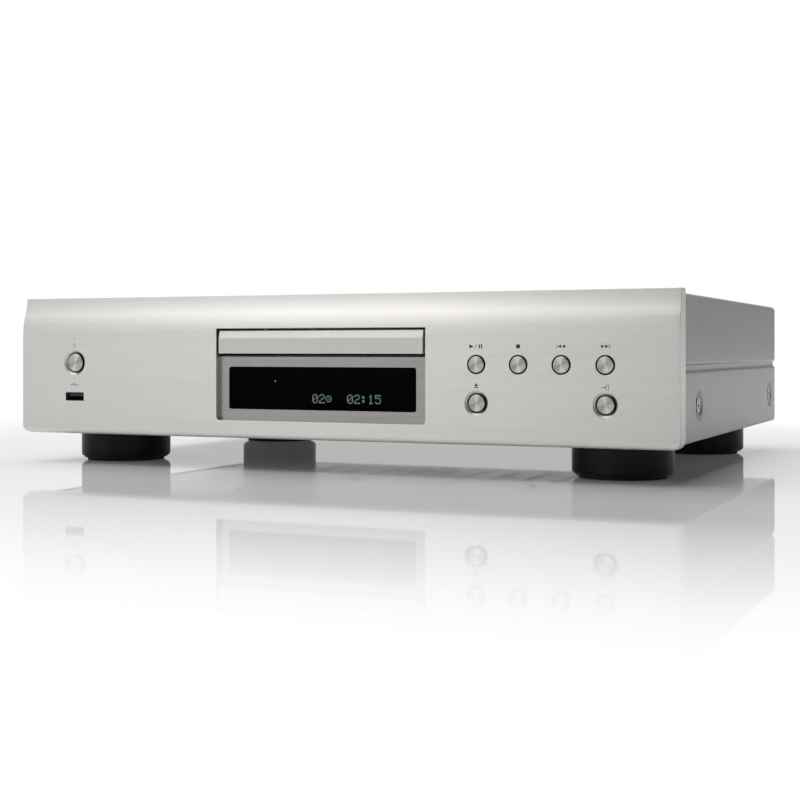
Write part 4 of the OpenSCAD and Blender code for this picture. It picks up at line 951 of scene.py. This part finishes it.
for x, y in rectangle(-FLOOR_HALF, -FLOOR_HALF, FLOOR_HALF, FLOOR_HALF):
    bm.verts.new((x, y, 0))
bm.faces.new(bm.verts)
floor = finish_object("studio_floor", bm)
floor.data.materials.append(s.material)


def area_light(name, place, target, width, height, power):
    data = bpy.data.lights.new(name, "AREA")
    data.shape = "RECTANGLE"
    data.size, data.size_y = width, height
    data.energy = power
    made = bpy.data.objects.new(name, data)
    made.location = place
    made.rotation_euler = (Vector(target) - Vector(place)).to_track_quat("-Z", "Y").to_euler()
    bpy.context.scene.collection.objects.link(made)


area_light("overhead", (-0.75, 0.1, 2.4), (-0.1, 0.1, 0), 2.8, 3.2, 52)
area_light("key_softbox", (-1.2, -2.1, 1.55), (0, -0.16, 0.06), 0.9, 0.9, 2.0)
area_light("rear_fill", (0.8, 0.75, 0.4), (0.215, 0.13, 0.06), 0.5, 0.5, 0.9)

world = bpy.data.worlds.new("studio")
bpy.context.scene.world = world
world.use_nodes = True
tree = world.node_tree
tree.nodes.clear()


def world_node(kind, **settings):
    made = tree.nodes.new(kind)
    for key, value in settings.items():
        setattr(made, key, value)
    return made


def facing(axis, low, high, start, end, level=False):
    """Strength that grows from low to high as a direction, or its level part, comes closer to the axis."""
    aim = world_node("ShaderNodeVectorMath", operation="DOT_PRODUCT")
    aim.inputs[1].default_value = Vector(axis).normalized()
    tree.links.new(flat.outputs["Vector"] if level else direction.outputs["Generated"], aim.inputs[0])
    spread = world_node("ShaderNodeMapRange", interpolation_type="SMOOTHSTEP")
    for socket, value in zip(("From Min", "From Max", "To Min", "To Max"), (start, end, low, high)):
        spread.inputs[socket].default_value = value
    tree.links.new(aim.outputs["Value"], spread.inputs["Value"])
    return spread.outputs["Result"]


def joined(a, b, operation="ADD"):
    made = world_node("ShaderNodeMath", operation=operation)
    tree.links.new(a, made.inputs[0])
    tree.links.new(b, made.inputs[1])
    return made.outputs["Value"]


direction = world_node("ShaderNodeTexCoord")
level_part = world_node("ShaderNodeVectorMath", operation="MULTIPLY")
level_part.inputs[1].default_value = (1, 1, 0)
tree.links.new(direction.outputs["Generated"], level_part.inputs[0])
flat = world_node("ShaderNodeVectorMath", operation="NORMALIZE")
tree.links.new(level_part.outputs["Vector"], flat.inputs[0])
room = facing((-0.35, -0.85, 0.4), 0.04, 0.13, -0.6, 0.9)
height = facing((0, 0, 1), 0.26, 1.3, -0.12, 0.6)
left_wall = joined(facing((-0.5, -0.866, 0), 0.0, 0.72, 0.92, 0.996, level=True), height, "MULTIPLY")
high_left = facing((-0.6, -0.5, 0.6), 0.0, 0.36, 0.9, 0.985)
rear_wall = facing((-0.4056, 0.914, 0.0), 0.0, 0.85, 0.74, 0.94)
lit = world_node("ShaderNodeBackground")
lit.inputs["Color"].default_value = (1.0, 0.985, 0.962, 1)
tree.links.new(joined(joined(room, left_wall), joined(high_left, rear_wall)), lit.inputs["Strength"])
seen = world_node("ShaderNodeBackground")
seen.inputs["Color"].default_value = (1, 1, 1, 1)
rays = world_node("ShaderNodeLightPath")
mixer = world_node("ShaderNodeMixShader")
output = world_node("ShaderNodeOutputWorld")
tree.links.new(rays.outputs["Is Camera Ray"], mixer.inputs["Fac"])
tree.links.new(lit.outputs["Background"], mixer.inputs[1])
tree.links.new(seen.outputs["Background"], mixer.inputs[2])
tree.links.new(mixer.outputs["Shader"], output.inputs["Surface"])

# ---------------------------------------------------------------- camera
scene = bpy.context.scene
scene.view_settings.view_transform = "Standard"
lens = bpy.data.cameras.new("photo_camera")
lens.lens = 63.5
lens.sensor_width = 36
lens.shift_y = -0.064
camera = bpy.data.objects.new("photo_camera", lens)
camera.location = (0.3853, -0.9101, 0.07415)
camera.rotation_euler = (math.radians(90), 0, math.radians(23.93))
scene.collection.objects.link(camera)
scene.camera = camera
